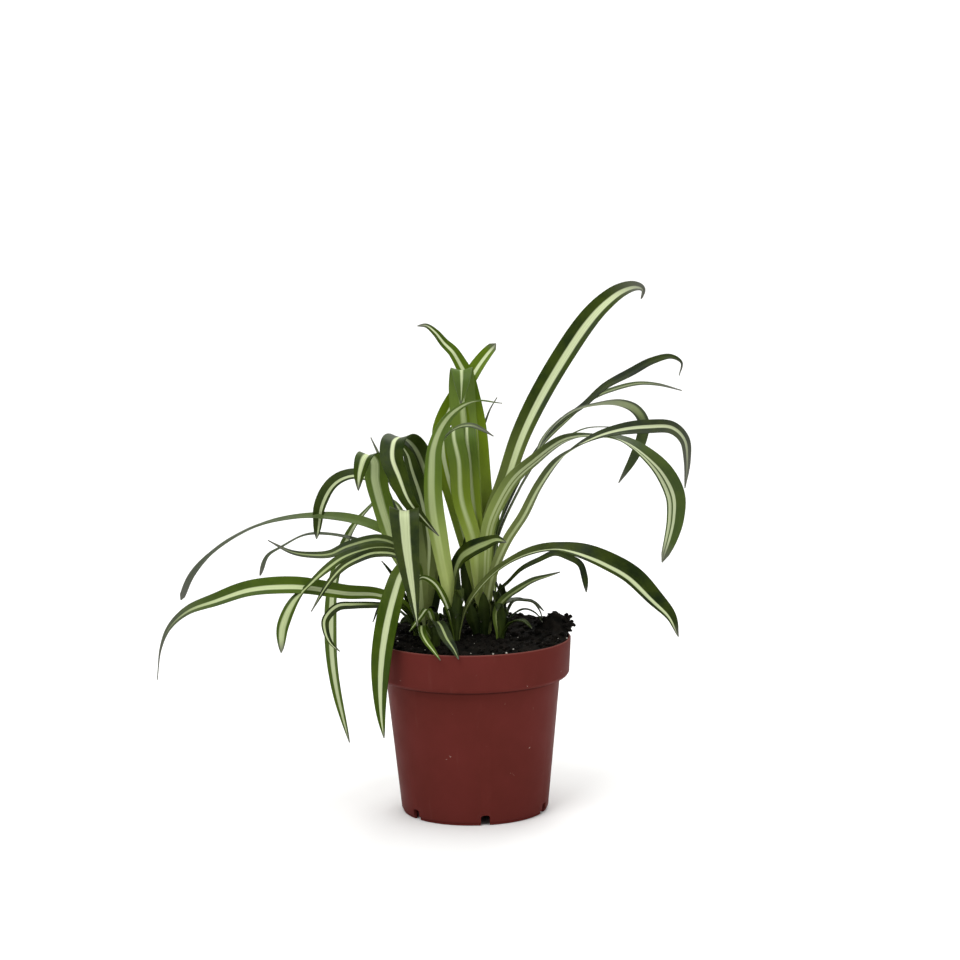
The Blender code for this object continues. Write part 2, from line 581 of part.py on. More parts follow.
def make_blade(leaf, name):
    """One leaf: a long blade folded along its midrib, cut into the same triangles on both faces."""
    bm = bmesh.new()
    half_thick = BLADE_THICKNESS / 2
    rows = []
    for centre, way, share in midrib_sections(leaf):
        across, upward = blade_frame(leaf, way, share)
        half = blade_width(leaf, share) / 2
        lift = BLADE_FOLD * half
        row = {}
        for side, reach in (("left", -half), ("middle", 0), ("right", half)):
            raised = lift if reach else 0
            base = centre + across * reach + upward * raised
            row[side, "top"] = bm.verts.new(base + upward * half_thick)
            row[side, "under"] = bm.verts.new(base - upward * half_thick)
        rows.append(row)
    for here, there in zip(rows, rows[1:]):
        for one, two in (("left", "middle"), ("middle", "right")):
            for face in ("top", "under"):
                bm.faces.new((here[one, face], here[two, face], there[two, face]))
                bm.faces.new((here[one, face], there[two, face], there[one, face]))
        for side in ("left", "right"):
            bm.faces.new((here[side, "top"], here[side, "under"], there[side, "under"]))
            bm.faces.new((here[side, "top"], there[side, "under"], there[side, "top"]))
    for row in (rows[0], rows[-1]):
        for one, two in (("left", "middle"), ("middle", "right")):
            bm.faces.new((row[one, "top"], row[two, "top"], row[two, "under"]))
            bm.faces.new((row[one, "top"], row[two, "under"], row[one, "under"]))
    bmesh.ops.recalc_face_normals(bm, faces=bm.faces)
    return add_object(name, bm)


def make_neck(name, shoot):
    """The short stem that a shoot's leaves grow from, standing in its hole."""
    bm = bmesh.new()
    rings = []
    for height, share in ((NECK_BOTTOM, 1), (NECK_SHOULDER, 1), (NECK_TOP, NECK_TAPER)):
        ring = []
        for side in range(NECK_SIDES):
            angle = 2 * pi * side / NECK_SIDES
            radius = shoot.radius * share
            ring.append(bm.verts.new((shoot.centre[0] + radius * cos(angle),
                                      shoot.centre[1] + radius * sin(angle), height)))
        rings.append(ring)
    for lower, upper in zip(rings, rings[1:]):
        for side in range(NECK_SIDES):
            after = (side + 1) % NECK_SIDES
            bm.faces.new((lower[side], lower[after], upper[after], upper[side]))
    bm.faces.new(rings[0])
    bm.faces.new(rings[-1])
    bmesh.ops.recalc_face_normals(bm, faces=bm.faces)
    return add_object(name, bm)


def make_shoot(name, shoot, material):
    """A shoot: its neck and all its leaves, joined into one solid."""
    neck = make_neck(name, shoot)
    group = bpy.data.collections.new(name + "_leaves")
    bpy.context.scene.collection.children.link(group)
    for number, leaf in enumerate(shoot.leaves):
        blade = make_blade(leaf, f"{name}_leaf_{number}")
        bpy.context.scene.collection.objects.unlink(blade)
        group.objects.link(blade)
    apply_boolean(neck, "UNION", operand_type="COLLECTION", collection=group)
    for blade in list(group.objects):
        bpy.data.objects.remove(blade, do_unlink=True)
    bpy.data.collections.remove(group)
    keep_outer_body(neck)
    neck.data.materials.clear()
    neck.data.materials.append(material)
    return neck


def main():
    """Build the whole plant."""
    clear_scene()
    make_pot(make_material("pot_plastic", POT_COLOUR, POT_ROUGHNESS))
    make_soil(make_material("soil_peat", SOIL_COLOUR, SOIL_ROUGHNESS))
    leaf_material = make_material("leaf_green", LEAF_COLOUR, LEAF_ROUGHNESS)
    for name, shoot in SHOOTS.items():
        make_shoot(name, shoot, leaf_material)


main()
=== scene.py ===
from math import cos, pi, radians, sin
from random import Random

import bpy
import numpy as np
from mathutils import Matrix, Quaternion, Vector, noise


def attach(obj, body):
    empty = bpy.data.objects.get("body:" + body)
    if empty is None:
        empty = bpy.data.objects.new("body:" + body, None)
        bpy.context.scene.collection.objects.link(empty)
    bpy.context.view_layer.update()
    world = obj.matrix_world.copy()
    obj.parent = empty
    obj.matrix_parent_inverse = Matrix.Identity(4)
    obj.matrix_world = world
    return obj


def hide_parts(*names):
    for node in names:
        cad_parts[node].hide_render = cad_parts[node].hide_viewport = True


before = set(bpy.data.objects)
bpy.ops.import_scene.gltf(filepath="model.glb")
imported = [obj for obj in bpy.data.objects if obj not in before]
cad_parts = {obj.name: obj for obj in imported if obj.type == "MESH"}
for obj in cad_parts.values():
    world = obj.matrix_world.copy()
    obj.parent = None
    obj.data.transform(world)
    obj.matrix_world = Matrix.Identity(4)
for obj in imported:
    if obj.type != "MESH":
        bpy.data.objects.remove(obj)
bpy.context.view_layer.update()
mm = 0.001
print("frame loaded:", ", ".join(sorted(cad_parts)))


# small helpers

def clearSelection():
    if bpy.context.mode != "OBJECT":
        bpy.ops.object.mode_set(mode="OBJECT")
    bpy.ops.object.select_all(action="DESELECT")


def makeActive(thing):  # the only object selected
    clearSelection()
    thing.select_set(True)
    bpy.context.view_layer.objects.active = thing


def editVertices(thing, chosen):  # go to edit mode with only the chosen vertices selected
    makeActive(thing)
    mesh = thing.data
    mesh.polygons.foreach_set("select", [False] * len(mesh.polygons))
    mesh.edges.foreach_set("select", [False] * len(mesh.edges))
    mesh.vertices.foreach_set("select", [bool(chosen(v.co)) for v in mesh.vertices])
    bpy.ops.object.mode_set(mode="EDIT")
    bpy.ops.mesh.select_mode(type="VERT")


def leaveEditing():
    bpy.ops.object.mode_set(mode="OBJECT")


def extrude(rise=0):  # the chosen edges, straight up
    bpy.ops.mesh.extrude_edges_move(TRANSFORM_OT_translate={"value": (0, 0, rise)})


def applyAll(thing):  # apply every modifier
    makeActive(thing)
    for modifier in list(thing.modifiers):
        bpy.ops.object.modifier_apply(modifier=modifier.name)


def copyOf(thing):
    copy = thing.copy()
    copy.data = thing.data.copy()
    bpy.context.scene.collection.objects.link(copy)
    return copy


def smoothByAngle(thing, degrees):
    makeActive(thing)
    bpy.ops.object.shade_smooth_by_angle(angle=radians(degrees))


def joinAll(things, name):
    clearSelection()
    for thing in things:
        thing.select_set(True)
    bpy.context.view_layer.objects.active = things[0]
    if len(things) > 1:
        bpy.ops.object.join()
    joined = bpy.context.view_layer.objects.active
    joined.name = name
    joined.data.name = name
    return joined


def finishPiece(piece, node, slot, *materials):
    piece.data.materials.clear()
    for material in materials:
        piece.data.materials.append(material)
    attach(piece, "root")
    if node:
        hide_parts(node)


def tint(red, green, blue):  # a colour picker's 0 to 255 values made linear
    out = []
    for value in (red, green, blue):
        value /= 255
        out.append(value / 12.92 if value <= 0.04045 else ((value + 0.055) / 1.055) ** 2.4)
    return (*out, 1.0)


# node helpers and shared node groups

def feed(tree, socket, value):  # link the output of a node, or set a plain value
    if isinstance(value, bpy.types.NodeSocket):
        tree.links.new(value, socket)
    else:
        socket.default_value = value


def addNode(tree, kind, inputs=None, **settings):
    node = tree.nodes.new("ShaderNode" + kind)
    for name, value in settings.items():
        setattr(node, name, value)
    for name, value in (inputs or {}).items():
        feed(tree, node.inputs[name], value)
    return node


def newGroup(name, **values):  # from a place and some values to one mask
    tree = bpy.data.node_groups.new(name, "ShaderNodeTree")
    tree.interface.new_socket("Place", in_out="INPUT", socket_type="NodeSocketVector")
    for label, value in values.items():
        socket = tree.interface.new_socket(label, in_out="INPUT", socket_type="NodeSocketFloat")
        socket.default_value = value
    tree.interface.new_socket("Mask", in_out="OUTPUT", socket_type="NodeSocketFloat")
    return tree, tree.nodes.new("NodeGroupInput"), tree.nodes.new("NodeGroupOutput")


def useGroup(tree, group, inputs):
    node = tree.nodes.new("ShaderNodeGroup")
    node.node_tree = group
    for name, value in inputs.items():
        feed(tree, node.inputs[name], value)
    return node.outputs[0]


def calc(tree, operation, one, two=0.0):
    return addNode(tree, "Math", {0: one, 1: two}, operation=operation).outputs[0]


def times(tree, one, two):
    return calc(tree, "MULTIPLY", one, two)


def ramped(tree, value, low, high, outLow=0.0, outHigh=1.0):  # soft step from low to high
    return addNode(tree, "MapRange", {"Value": value, "From Min": low, "From Max": high,
                                      "To Min": outLow, "To Max": outHigh},
                   interpolation_type="SMOOTHSTEP").outputs["Result"]


def blendColour(tree, mask, one, two, how="MIX"):
    node = addNode(tree, "Mix", data_type="RGBA", blend_type=how)
    for index, value in ((0, mask), (6, one), (7, two)):  # the colour sockets of a Mix node
        feed(tree, node.inputs[index], value)
    return node.outputs[2]


def paintOver(tree, colour, mask, depth, over, how="MIX"):
    return blendColour(tree, times(tree, mask, depth), colour, over, how)


def makeStripeGroup():  # a soft-edged band along the middle of a blade's UV map
    tree, start, end = newGroup("centreStripe", Band=0.34, Shift=0.0, Soft=0.04, Wander=0.02)
    parts = addNode(tree, "SeparateXYZ", {0: start.outputs["Place"]})
    long = addNode(tree, "CombineXYZ", {"X": times(tree, parts.outputs["X"], 3.0),
                                        "Y": times(tree, parts.outputs["Y"], 9.0)})
    drift = addNode(tree, "TexNoise", {"Vector": long.outputs[0], "Scale": 1.6, "Detail": 2.0})
    shift = times(tree, calc(tree, "SUBTRACT", drift.outputs["Fac"], 0.5), start.outputs["Wander"])
    middle = calc(tree, "ADD", start.outputs["Shift"], 0.5)
    moved = calc(tree, "ADD", parts.outputs["X"], shift)
    away = calc(tree, "ABSOLUTE", calc(tree, "SUBTRACT", moved, middle))
    half = times(tree, start.outputs["Band"], 0.5)
    mask = ramped(tree, away, calc(tree, "ADD", half, start.outputs["Soft"]),
                  calc(tree, "SUBTRACT", half, start.outputs["Soft"]))
    tree.links.new(mask, end.inputs[0])
    return tree


def makeVeinGroup():  # fine lines that run the length of a blade
    tree, start, end = newGroup("bladeVeins", Lines=26.0)
    parts = addNode(tree, "SeparateXYZ", {0: start.outputs["Place"]})
    long = addNode(tree, "CombineXYZ", {
        "X": times(tree, parts.outputs["X"], start.outputs["Lines"]),
        "Y": times(tree, parts.outputs["Y"], 1.5)})
    lines = addNode(tree, "TexNoise", {"Vector": long.outputs[0], "Scale": 1.0, "Detail": 3.0})
    tree.links.new(ramped(tree, lines.outputs["Fac"], 0.3, 0.7), end.inputs[0])
    return tree


def makeAlongGroup():  # rises from one share of the blade's length to another
    tree, start, end = newGroup("alongBlade", From=0.0, To=1.0)
    parts = addNode(tree, "SeparateXYZ", {0: start.outputs["Place"]})
    tree.links.new(ramped(tree, parts.outputs["Y"], start.outputs["From"], start.outputs["To"]),
                   end.inputs[0])
    return tree


def makePatchGroup():  # cloudy patches, or specks at a small scale and a high cut
    tree, start, end = newGroup("patches", Scale=60.0, Cut=0.5, Soft=0.15)
    cut, soft = start.outputs["Cut"], start.outputs["Soft"]
    cloud = addNode(tree, "TexNoise", {"Vector": start.outputs["Place"],
                                       "Scale": start.outputs["Scale"],
                                       "Detail": 5.0, "Roughness": 0.6})
    mask = ramped(tree, cloud.outputs["Fac"], calc(tree, "SUBTRACT", cut, soft),
                  calc(tree, "ADD", cut, soft))
    tree.links.new(mask, end.inputs[0])
    return tree


def makeBandGroup():  # a ring at one height, used both for wear on the lip and for painted shade under the rim
    tree, start, end = newGroup("heightBand", Height=0.08, Reach=0.002)
    parts = addNode(tree, "SeparateXYZ", {0: start.outputs["Place"]})
    above = calc(tree, "SUBTRACT", parts.outputs["Z"], start.outputs["Height"])
    away = calc(tree, "ABSOLUTE", above)
    tree.links.new(ramped(tree, away, start.outputs["Reach"], 0.0), end.inputs[0])
    return tree


stripeGroup = makeStripeGroup()
veinGroup = makeVeinGroup()
alongGroup = makeAlongGroup()
patchGroup = makePatchGroup()
bandGroup = makeBandGroup()


def patches(tree, place, scale, cut, soft):
    return useGroup(tree, patchGroup, {"Place": place, "Scale": scale, "Cut": cut, "Soft": soft})


def newMaterial(name, **sockets):
    material = bpy.data.materials.new(name)
    material.use_nodes = True
    shader = material.node_tree.nodes["Principled BSDF"]
    for label, value in sockets.items():
        shader.inputs[label].default_value = value
    return material, material.node_tree, shader


def bumpInto(tree, shader, height, strength, distance):
    bump = addNode(tree, "Bump", {"Height": height, "Strength": strength, "Distance": distance})
    tree.links.new(bump.outputs["Normal"], shader.inputs["Normal"])


# leaf materials, with their looks and colours

# margin: 0 dark green to 1 yellow-green;  stripe: 0 faint to 1 cream;  band: the stripe's share of
# the width;  shift: how far it lies off the middle;  soft: its edges;  split: a green line in it;
# root: a pale foot;  grey: a dull cast;  dry: the share of the length that has dried at the tip
# several values run from the root to the tip
lookKeys = ("margin", "stripe", "band", "shift", "soft", "split", "root", "grey", "dry")
leafLooks = {name: dict(zip(lookKeys, values)) for name, values in {
    "striped": (0.25, 0.95, 0.3, 0.0, 0.03, 0.0, 0.1, 0.0, 0.04),
    "narrow": (0.05, 0.5, 0.25, 0.0, 0.03, 0.0, 0.3, 0.1, 0.1),
    "soft": ((0.6, 0.12), (0.55, 0.8), 0.33, 0.0, 0.06, 0.0, 0.6, 0.0, 0.05),
    "softAside": ((0.7, 0.3), (0.55, 0.75), 0.32, 0.13, 0.06, 0.0, 1.0, (0.0, 0.2), 0.05),
    "hanging": (0.08, 0.85, 0.34, 0.0, 0.03, 0.0, 0.5, 0.1, 0.03),
    "clean": (0.22, 0.9, 0.28, 0.0, 0.03, 0.0, 0.1, 0.0, 0.04),
    "broad": ((0.4, 0.28), 0.9, 0.4, 0.0, 0.04, 0.0, 0.1, (0.5, 0.0), 0.04),
    "long": ((0.3, 0.12, 0.1), 0.9, (0.28, 0.34), 0.11, 0.035, 0.0, 0.5, 0.0, 0.13),
    "bright": (0.04, 1.0, 0.25, 0.0, 0.03, 0.0, 0.5, (0.0, 0.3), 0.2),
    "lined": ((0.6, 0.1, 0.3), 1.0, 0.42, (-0.12, -0.12, 0.0, 0.22, 0.22), 0.03, 1.0, 0.6,
              (0.0, 0.3), 0.06),
    "olive": ((0.4, 0.3, 0.15), (0.85, 0.85, 0.7, 0.1), (0.3, 0.3, 0.2), -0.1, 0.03, 0.0, 0.05,
              (0.0, 0.0, 0.1, 0.9), 0.3),
    "leaning": (0.06, 0.9, 0.19, 0.25, 0.025, 0.0, 0.2, 0.0, 0.05),
    "slanted": (0.12, 0.8, 0.27, -0.18, 0.03, 0.0, 0.0, (0.5, 0.0), 0.04),
    "dark": (0.1, 0.95, 0.18, 0.0, 0.03, 0.0, 0.5, 0.0, 0.05),
    "stem": ((0.95, 0.85, 0.7, 0.35), (0.35, 0.45, 0.6, 0.8), (0.42, 0.3, 0.2, 0.14), 0.0,
             (0.16, 0.12, 0.06, 0.03), 0.0, 1.0, (0.0, 0.3), 0.02),
    "twoTone": ((0.9, 0.8, 0.65, 0.1), (0.7, 0.8, 1.0), 0.28, (-0.25, 0.0), 0.04, 0.0, 0.6, 0.0,
                0.05),
    "oliveTip": ((0.7, 0.75, 0.65, 0.6), 0.95, 0.25, 0.1, 0.03, 0.0, 0.5, 0.0, 0.04),
    "pale": ((0.15, 0.12, 0.3), (0.3, 0.4, 0.75), (0.2, 0.2, 0.6), 0.0, (0.03, 0.03, 0.09), 0.0,
             0.1, 0.1, 0.06),
    "dusk": ((0.3, 0.05), 0.4, 0.25, 0.0, 0.05, 0.0, 0.1, (0.0, 0.4), 0.15),
    "fine": (0.25, 0.4, 0.3, 0.0, 0.03, 0.0, 0.1, 0.5, 0.15),
    "dull": (0.2, 0.1, 0.3, 0.0, 0.05, 0.0, 0.1, 0.8, 0.1),
    "greyEnd": ((0.5, 0.35, 0.1), 0.05, 0.3, 0.0, 0.05, 0.0, 0.1, (0.0, 0.15, 0.9, 1.0), 0.1),
    "greyDark": ((0.2, 0.1, 0.0), (0.6, 0.6, 0.6, 0.7, 0.8, 0.9, 0.0, 0.0),
                 (0.5, 0.5, 0.5, 0.6, 0.8, 0.9, 0.3, 0.1), 0.0, 0.1, 0.0, 0.1,
                 (0.7, 0.7, 0.8, 0.9, 0.9, 0.9, 0.2, 0.2), 0.05),
    "folded": (0.0, 0.35, 0.36, 0.0, 0.05, 0.0, 0.1, 0.0, 0.05),
    "marked": ((0.1, 0.35), (0.3, 0.75), 0.26, 0.1, 0.03, 0.0, 0.0, 0.0, 0.05),
    "markedDark": (0.03, 0.4, 0.2, 0.0, 0.03, 0.0, 0.0, 0.1, 0.05),
    "deepLined": (0.0, (0.0, 0.0, 0.7, 0.7), 0.3, 0.15, 0.03, 0.0, 0.0, 0.05, 0.05),
    "deep": (0.0, 0.06, 0.24, 0.0, 0.04, 0.0, 0.0, 0.05, 0.05),
}.items()}

leafPaint = {
    "upperDark": tint(10, 26, 0), "upperMid": tint(72, 98, 6), "upperLight": tint(134, 154, 18),
    "underDark": tint(24, 40, 4), "underMid": tint(86, 112, 24), "underLight": tint(142, 164, 52),
    "cream": tint(204, 214, 170), "creamUnder": tint(190, 202, 156),
    "softStripe": tint(156, 176, 92),
    "rootPale": tint(178, 192, 112), "dryTip": tint(92, 92, 84), "greyCast": tint(92, 94, 88),
    "specular": 0.12,
    "veins": 30.0, "veinDepth": 0.35, "veinTint": (0.6, 0.6, 0.5, 1), "stripeVeins": 0.3,
    "mottleScale": 90.0, "mottleDepth": 0.1,
    "wander": 0.03, "splitBand": 0.09, "splitSoft": 0.03,
    "rootFrom": 0.6, "rootTo": 0.08, "greyDepth": 0.6, "dryDepth": 0.85,
    "gloss": (-0.05, 0.12),  # least and greatest change of the roughness
    "bump": 0.35, "bumpReach": 0.00012,
}


def leafMaterial(name, dark, mid, light, stripeLow, stripeHigh, rough):
    material, tree, shader = newMaterial(
        name, **{"Roughness": rough, "Specular IOR Level": leafPaint["specular"]})
    place = addNode(tree, "UVMap", uv_map="UVMap").outputs["UV"]
    spot = addNode(tree, "TexCoord").outputs["Object"]
    look = {key: addNode(tree, "Attribute", attribute_name=key).outputs["Fac"] for key in lookKeys}
    margin = blendColour(tree, ramped(tree, look["margin"], 0.0, 0.5), dark, mid)
    margin = blendColour(tree, ramped(tree, look["margin"], 0.5, 1.0), margin, light)
    veins = useGroup(tree, veinGroup, {"Place": place, "Lines": leafPaint["veins"]})
    margin = paintOver(tree, margin, veins, leafPaint["veinDepth"], leafPaint["veinTint"],
                       "MULTIPLY")
    mottle = patches(tree, spot, scale=leafPaint["mottleScale"], cut=0.5, soft=0.2)
    margin = paintOver(tree, margin, mottle, leafPaint["mottleDepth"], light)
    stripeTint = blendColour(tree, look["stripe"], stripeLow, stripeHigh)
    stripeTint = paintOver(tree, stripeTint, veins, leafPaint["stripeVeins"], margin)
    mask = useGroup(tree, stripeGroup, {
        "Place": place, "Band": look["band"], "Shift": look["shift"], "Soft": look["soft"],
        "Wander": leafPaint["wander"]})
    core = useGroup(tree, stripeGroup, {
        "Place": place, "Band": leafPaint["splitBand"], "Shift": look["shift"],
        "Soft": leafPaint["splitSoft"], "Wander": leafPaint["wander"]})
    mask = times(tree, mask, calc(tree, "SUBTRACT", 1.0, times(tree, core, look["split"])))
    strength = times(tree, mask, ramped(tree, look["stripe"], 0.0, 0.6))
    colour = blendColour(tree, strength, margin, stripeTint)
    root = useGroup(tree, alongGroup, {"Place": place, "From": leafPaint["rootFrom"],
                                       "To": leafPaint["rootTo"]})
    colour = paintOver(tree, colour, root, look["root"], leafPaint["rootPale"])
    colour = paintOver(tree, colour, look["grey"], leafPaint["greyDepth"], leafPaint["greyCast"])
    dry = useGroup(tree, alongGroup, {"Place": place, "To": 1.0,
                                      "From": calc(tree, "SUBTRACT", 1.0, look["dry"])})
    colour = paintOver(tree, colour, dry, leafPaint["dryDepth"], leafPaint["dryTip"])
    tree.links.new(colour, shader.inputs["Base Color"])
    shiniest, dullest = (rough + change for change in leafPaint["gloss"])
    tree.links.new(ramped(tree, mottle, 0.0, 1.0, shiniest, dullest), shader.inputs["Roughness"])
    bumpInto(tree, shader, veins, leafPaint["bump"], leafPaint["bumpReach"])
    return material


leafUpper = leafMaterial("leafUpper", leafPaint["upperDark"], leafPaint["upperMid"],
                         leafPaint["upperLight"], leafPaint["softStripe"], leafPaint["cream"], 0.42)
leafUnder = leafMaterial("leafUnder", leafPaint["underDark"], leafPaint["underMid"],
                         leafPaint["underLight"], leafPaint["softStripe"], leafPaint["creamUnder"],
                         0.5)
print("leaf materials made")

# leaves: heading and rolls in degrees (rolls run from the root to the tip), width in
# millimetres, the root's share of the width, where along the leaf it is widest, how blunt its tail
# is, its look, and its route in millimetres

shootLeft = {"centre": (-24, 0), "lowLeaves": 13, "reach": 8.0, "leaves": [
    # tall leaves that fold over at the top
    (-115, 0, 11.5, 0.4, 0.72, 0.75, "soft",
     [(-24, 1, 82), (-27, 2, 106), (-34, 2, 119), (-38, 1, 132), (-41, 0, 143), (-43, -1, 153),
      (-43, -3, 161), (-45, -8, 165), (-47, -12, 164), (-49, -14, 158), (-50, -15, 150)]),
    (140, 0, 4.6, 0.5, 0.45, 0.75, "fine",
     [(-22, 3, 82), (-23, 5, 124), (-29, 6, 140), (-34, 7, 147), (-38, 8, 154), (-41, 9, 162),
      (-45, 11, 171)]),
    (-110, 0, 11.5, 0.4, 0.65, 0.9, "dark",
     [(-23, 2, 82), (-17, 4, 118), (-16.5, 4, 134), (-18.5, 3, 148), (-21, 2, 158), (-24, 0, 166),
      (-27.5, -5, 171), (-31, -11, 173), (-33.5, -17, 171.5), (-34, -22, 165), (-31, -26, 157),
      (-27, -28, 147), (-20, -29, 138), (-14, -29, 131)]),
    (-110, 0, 8.5, 0.45, 0.6, 0.75, "dark",
     [(-23, 0, 82), (-19, 1, 122), (-22, 0, 143), (-26, -2, 157), (-28, -5, 165), (-31, -9, 169),
      (-34, -12, 165)]),
    # front leaves that hang before the pot
    (-90, 0, 13.2, 0.32, 0.52, 0.9, "hanging",
     [(-22, -3, 82), (-24, -13, 108), (-28, -22, 133), (-29, -28, 142), (-29, -33, 141),
      (-28, -36, 126), (-26, -37, 109), (-24, -37, 92)]),
    (-110, 0, 10.5, 0.4, 0.55, 0.75, "clean",
     [(-25, -3, 82), (-25, -10, 104), (-27, -18, 116), (-31, -25, 113), (-35, -30, 102),
      (-38, -33, 90), (-40, -34, 78), (-41, -34, 66), (-41, -34, 52), (-40, -34, 41)]),
    # leaves that arch to the left
    (180, (-40, -55, -60, -60, -25), 8.0, 0.5, 0.5, 1.4, "olive",
     [(-24, -2, 82), (-31, -7, 96), (-42, -11, 102), (-56, -16, 104), (-78, -25, 109),
      (-98, -31, 109), (-113, -36, 105), (-125, -39, 101), (-133, -41, 94), (-137, -42, 85),
      (-139, -43, 71)]),
    (155, (-60, -60, -45, -22, -8, -28, -95), 5.5, 0.5, 0.5, 0.2, "greyEnd",
     [(-24, 1, 82), (-26, 3, 106), (-30, 6, 122), (-37, 9, 127), (-52, 16, 132), (-73, 25, 133),
      (-98, 34, 128), (-112, 39, 121), (-124, 44, 112), (-133, 48, 102), (-139, 51, 90)]),
    (160, (15, 15, 15, 12, -45, -88, -90), 6.2, 0.5, 0.82, 0.5, "slanted",
     [(-24, 2, 82), (-27, 6, 112), (-33, 10, 134), (-42, 14, 149), (-52, 18, 153), (-58, 20, 152),
      (-63, 22, 149), (-67, 24, 144), (-70, 25, 137), (-71, 26, 130), (-72, 27, 122)]),
    (165, (0, 0, -5, -45, -65, -68, -80), 7.4, 0.4, 0.7, 0.75, "broad",
     [(-25, 3, 82), (-28, 11, 120), (-34, 16, 138), (-41, 19, 141), (-49, 23, 134), (-56, 27, 124),
      (-62, 30, 109), (-65, 31, 96), (-66, 31, 82), (-66, 31, 66), (-64, 31, 48), (-59, 31, 24)]),
    (195, (-50, -50), 5.0, 0.5, 0.45, 0.75, "dusk",
     [(-25, -2, 82), (-27, -4, 108), (-32, -7, 122), (-41, -11, 127), (-55, -16, 125),
      (-63, -19, 122), (-71, -21, 122), (-80, -24, 124), (-90, -27, 130)]),
    (195, (-50, -60, -60, -50, -40, -30, 0, -75, -80), 5.4, 0.45, 0.88, 0.6, "pale",
     [(-25, -3, 82), (-27, -6, 108), (-32, -10, 121), (-42, -15, 124), (-56, -20, 121),
      (-64, -23, 116), (-72, -26, 109), (-79, -29, 102), (-84, -31, 92), (-85, -32, 80)]),
    (205, (-40, -50, -50, -25), 4.6, 0.5, 0.5, 0.75, "narrow",
     [(-25, -3, 82), (-27, -8, 106), (-32, -12, 119), (-43, -18, 122), (-51, -22, 120),
      (-57, -25, 117), (-63, -29, 111), (-71, -35, 99)]),
    (160, (0, -5, -5, -10, -10, -10, -5, -15, -85), 3.4, 0.55, 0.92, 0.6, "dull",
     [(-24, 3, 82), (-29, 9, 108), (-37, 14, 117), (-53, 22, 122), (-66, 27, 124), (-78, 32, 123),
      (-89, 36, 117), (-96, 39, 112), (-100, 40, 103)]),
    (200, (-20, -70), 3.8, 0.55, 0.7, 0.75, "deepLined",
     [(-25, -4, 82), (-31, -10, 96), (-42, -17, 98), (-53, -22, 99), (-60, -26, 99), (-65, -28, 94),
      (-65, -29, 89), (-63, -30, 84), (-59, -31, 80)]),
    # short leaves near the soil
    (190, (0, -20), 2.6, 0.7, 0.5, 0.75, "deep",
     [(-26, -2, 82), (-33, -5, 93), (-41, -8, 96), (-45, -9, 89)]),
    (-150, 0, 3.6, 0.7, 0.5, 0.75, "deep",
     [(-25, -4, 82), (-29, -9, 90), (-34, -12, 96)]),
    (180, (0, -40), 3.0, 0.7, 0.5, 0.75, "deep",
     [(-25, 1, 82), (-32, 3, 101), (-38, 4, 111), (-41, 4, 115)]),
    # leaves that arch to the back
    (110, 0, 8.0, 0.5, 0.55, 0.75, "striped",
     [(-24, 4, 82), (-27, 18, 112), (-29, 36, 130), (-30, 54, 130), (-30, 68, 114), (-30, 77, 92)]),
    (100, 0, 6.0, 0.5, 0.5, 0.75, "striped",
     [(-25, 3, 82), (-26, 14, 94), (-28, 26, 98), (-29, 37, 95), (-29, 44, 86)]),
    (80, 0, 7.5, 0.5, 0.55, 0.75, "striped",
     [(-23, 4, 82), (-23, 18, 124), (-23, 38, 150), (-22, 60, 150), (-21, 80, 128),
      (-20, 88, 100)]),
    # a dark leaf close by the crown
    (-90, 0, 6.0, 0.6, 0.5, 0.75, "deep",
     [(-20, 4, 82), (-18, 6, 93), (-16.5, 7, 105), (-15.8, 8, 118)]),
]}

shootMiddle = {"centre": (-8, -10), "lowLeaves": 9, "reach": 6.0, "leaves": [
    (-70, 0, 8.8, 0.45, 0.45, 1.05, "softAside",
     [(-8, -10, 82), (-10, -11, 103), (-13, -12, 122), (-16, -12, 143), (-16, -13, 158),
      (-15, -15, 169), (-11, -17, 179), (-5, -20, 186), (3, -22, 190), (15, -23, 189)]),
    (-150, (-60, -65), 4.6, 0.6, 0.5, 0.75, "striped",
     [(-8, -11, 82), (-10, -13, 92), (-13, -16, 101), (-17, -18, 108), (-22, -20, 111),
      (-25, -22, 109)]),
    (-15, (40, 38, 25, 25, 65, 75, 75), 8.6, 0.3, 0.75, 0.75, "leaning",
     [(-6, -10, 82), (-3, -11, 94), (3, -13, 104), (13, -16, 114), (25, -20, 121), (37, -25, 124),
      (48, -28, 123), (60, -31, 119), (71, -34, 113), (81, -37, 103), (88, -39, 95),
      (91, -40, 86)]),
    (-20, (0, 0, 0, 10, 45), 3.8, 0.6, 0.8, 0.75, "fine",
     [(-9, -8, 82), (-11, -8, 105), (-14, -8, 130), (-16, -8, 150), (-15, -9, 163), (-11, -10, 172),
      (-5, -11, 177), (1, -11, 178), (6, -10, 176), (11, -10, 173)]),
    (-20, (30, 60), 9.5, 0.35, 0.65, 0.75, "folded",
     [(-7, -10, 82), (-8, -9, 100), (-7, -9, 111), (-4, -10, 118), (1, -13, 122), (7, -15, 125),
      (12, -17, 127), (16, -18, 126)]),
    # a dark leaf close by the crown
    (-90, 0, 5.5, 0.6, 0.5, 0.75, "deep",
     [(-8, -6, 82), (-8, -4, 94), (-7.5, -3, 105), (-7, -3, 117)]),
]}

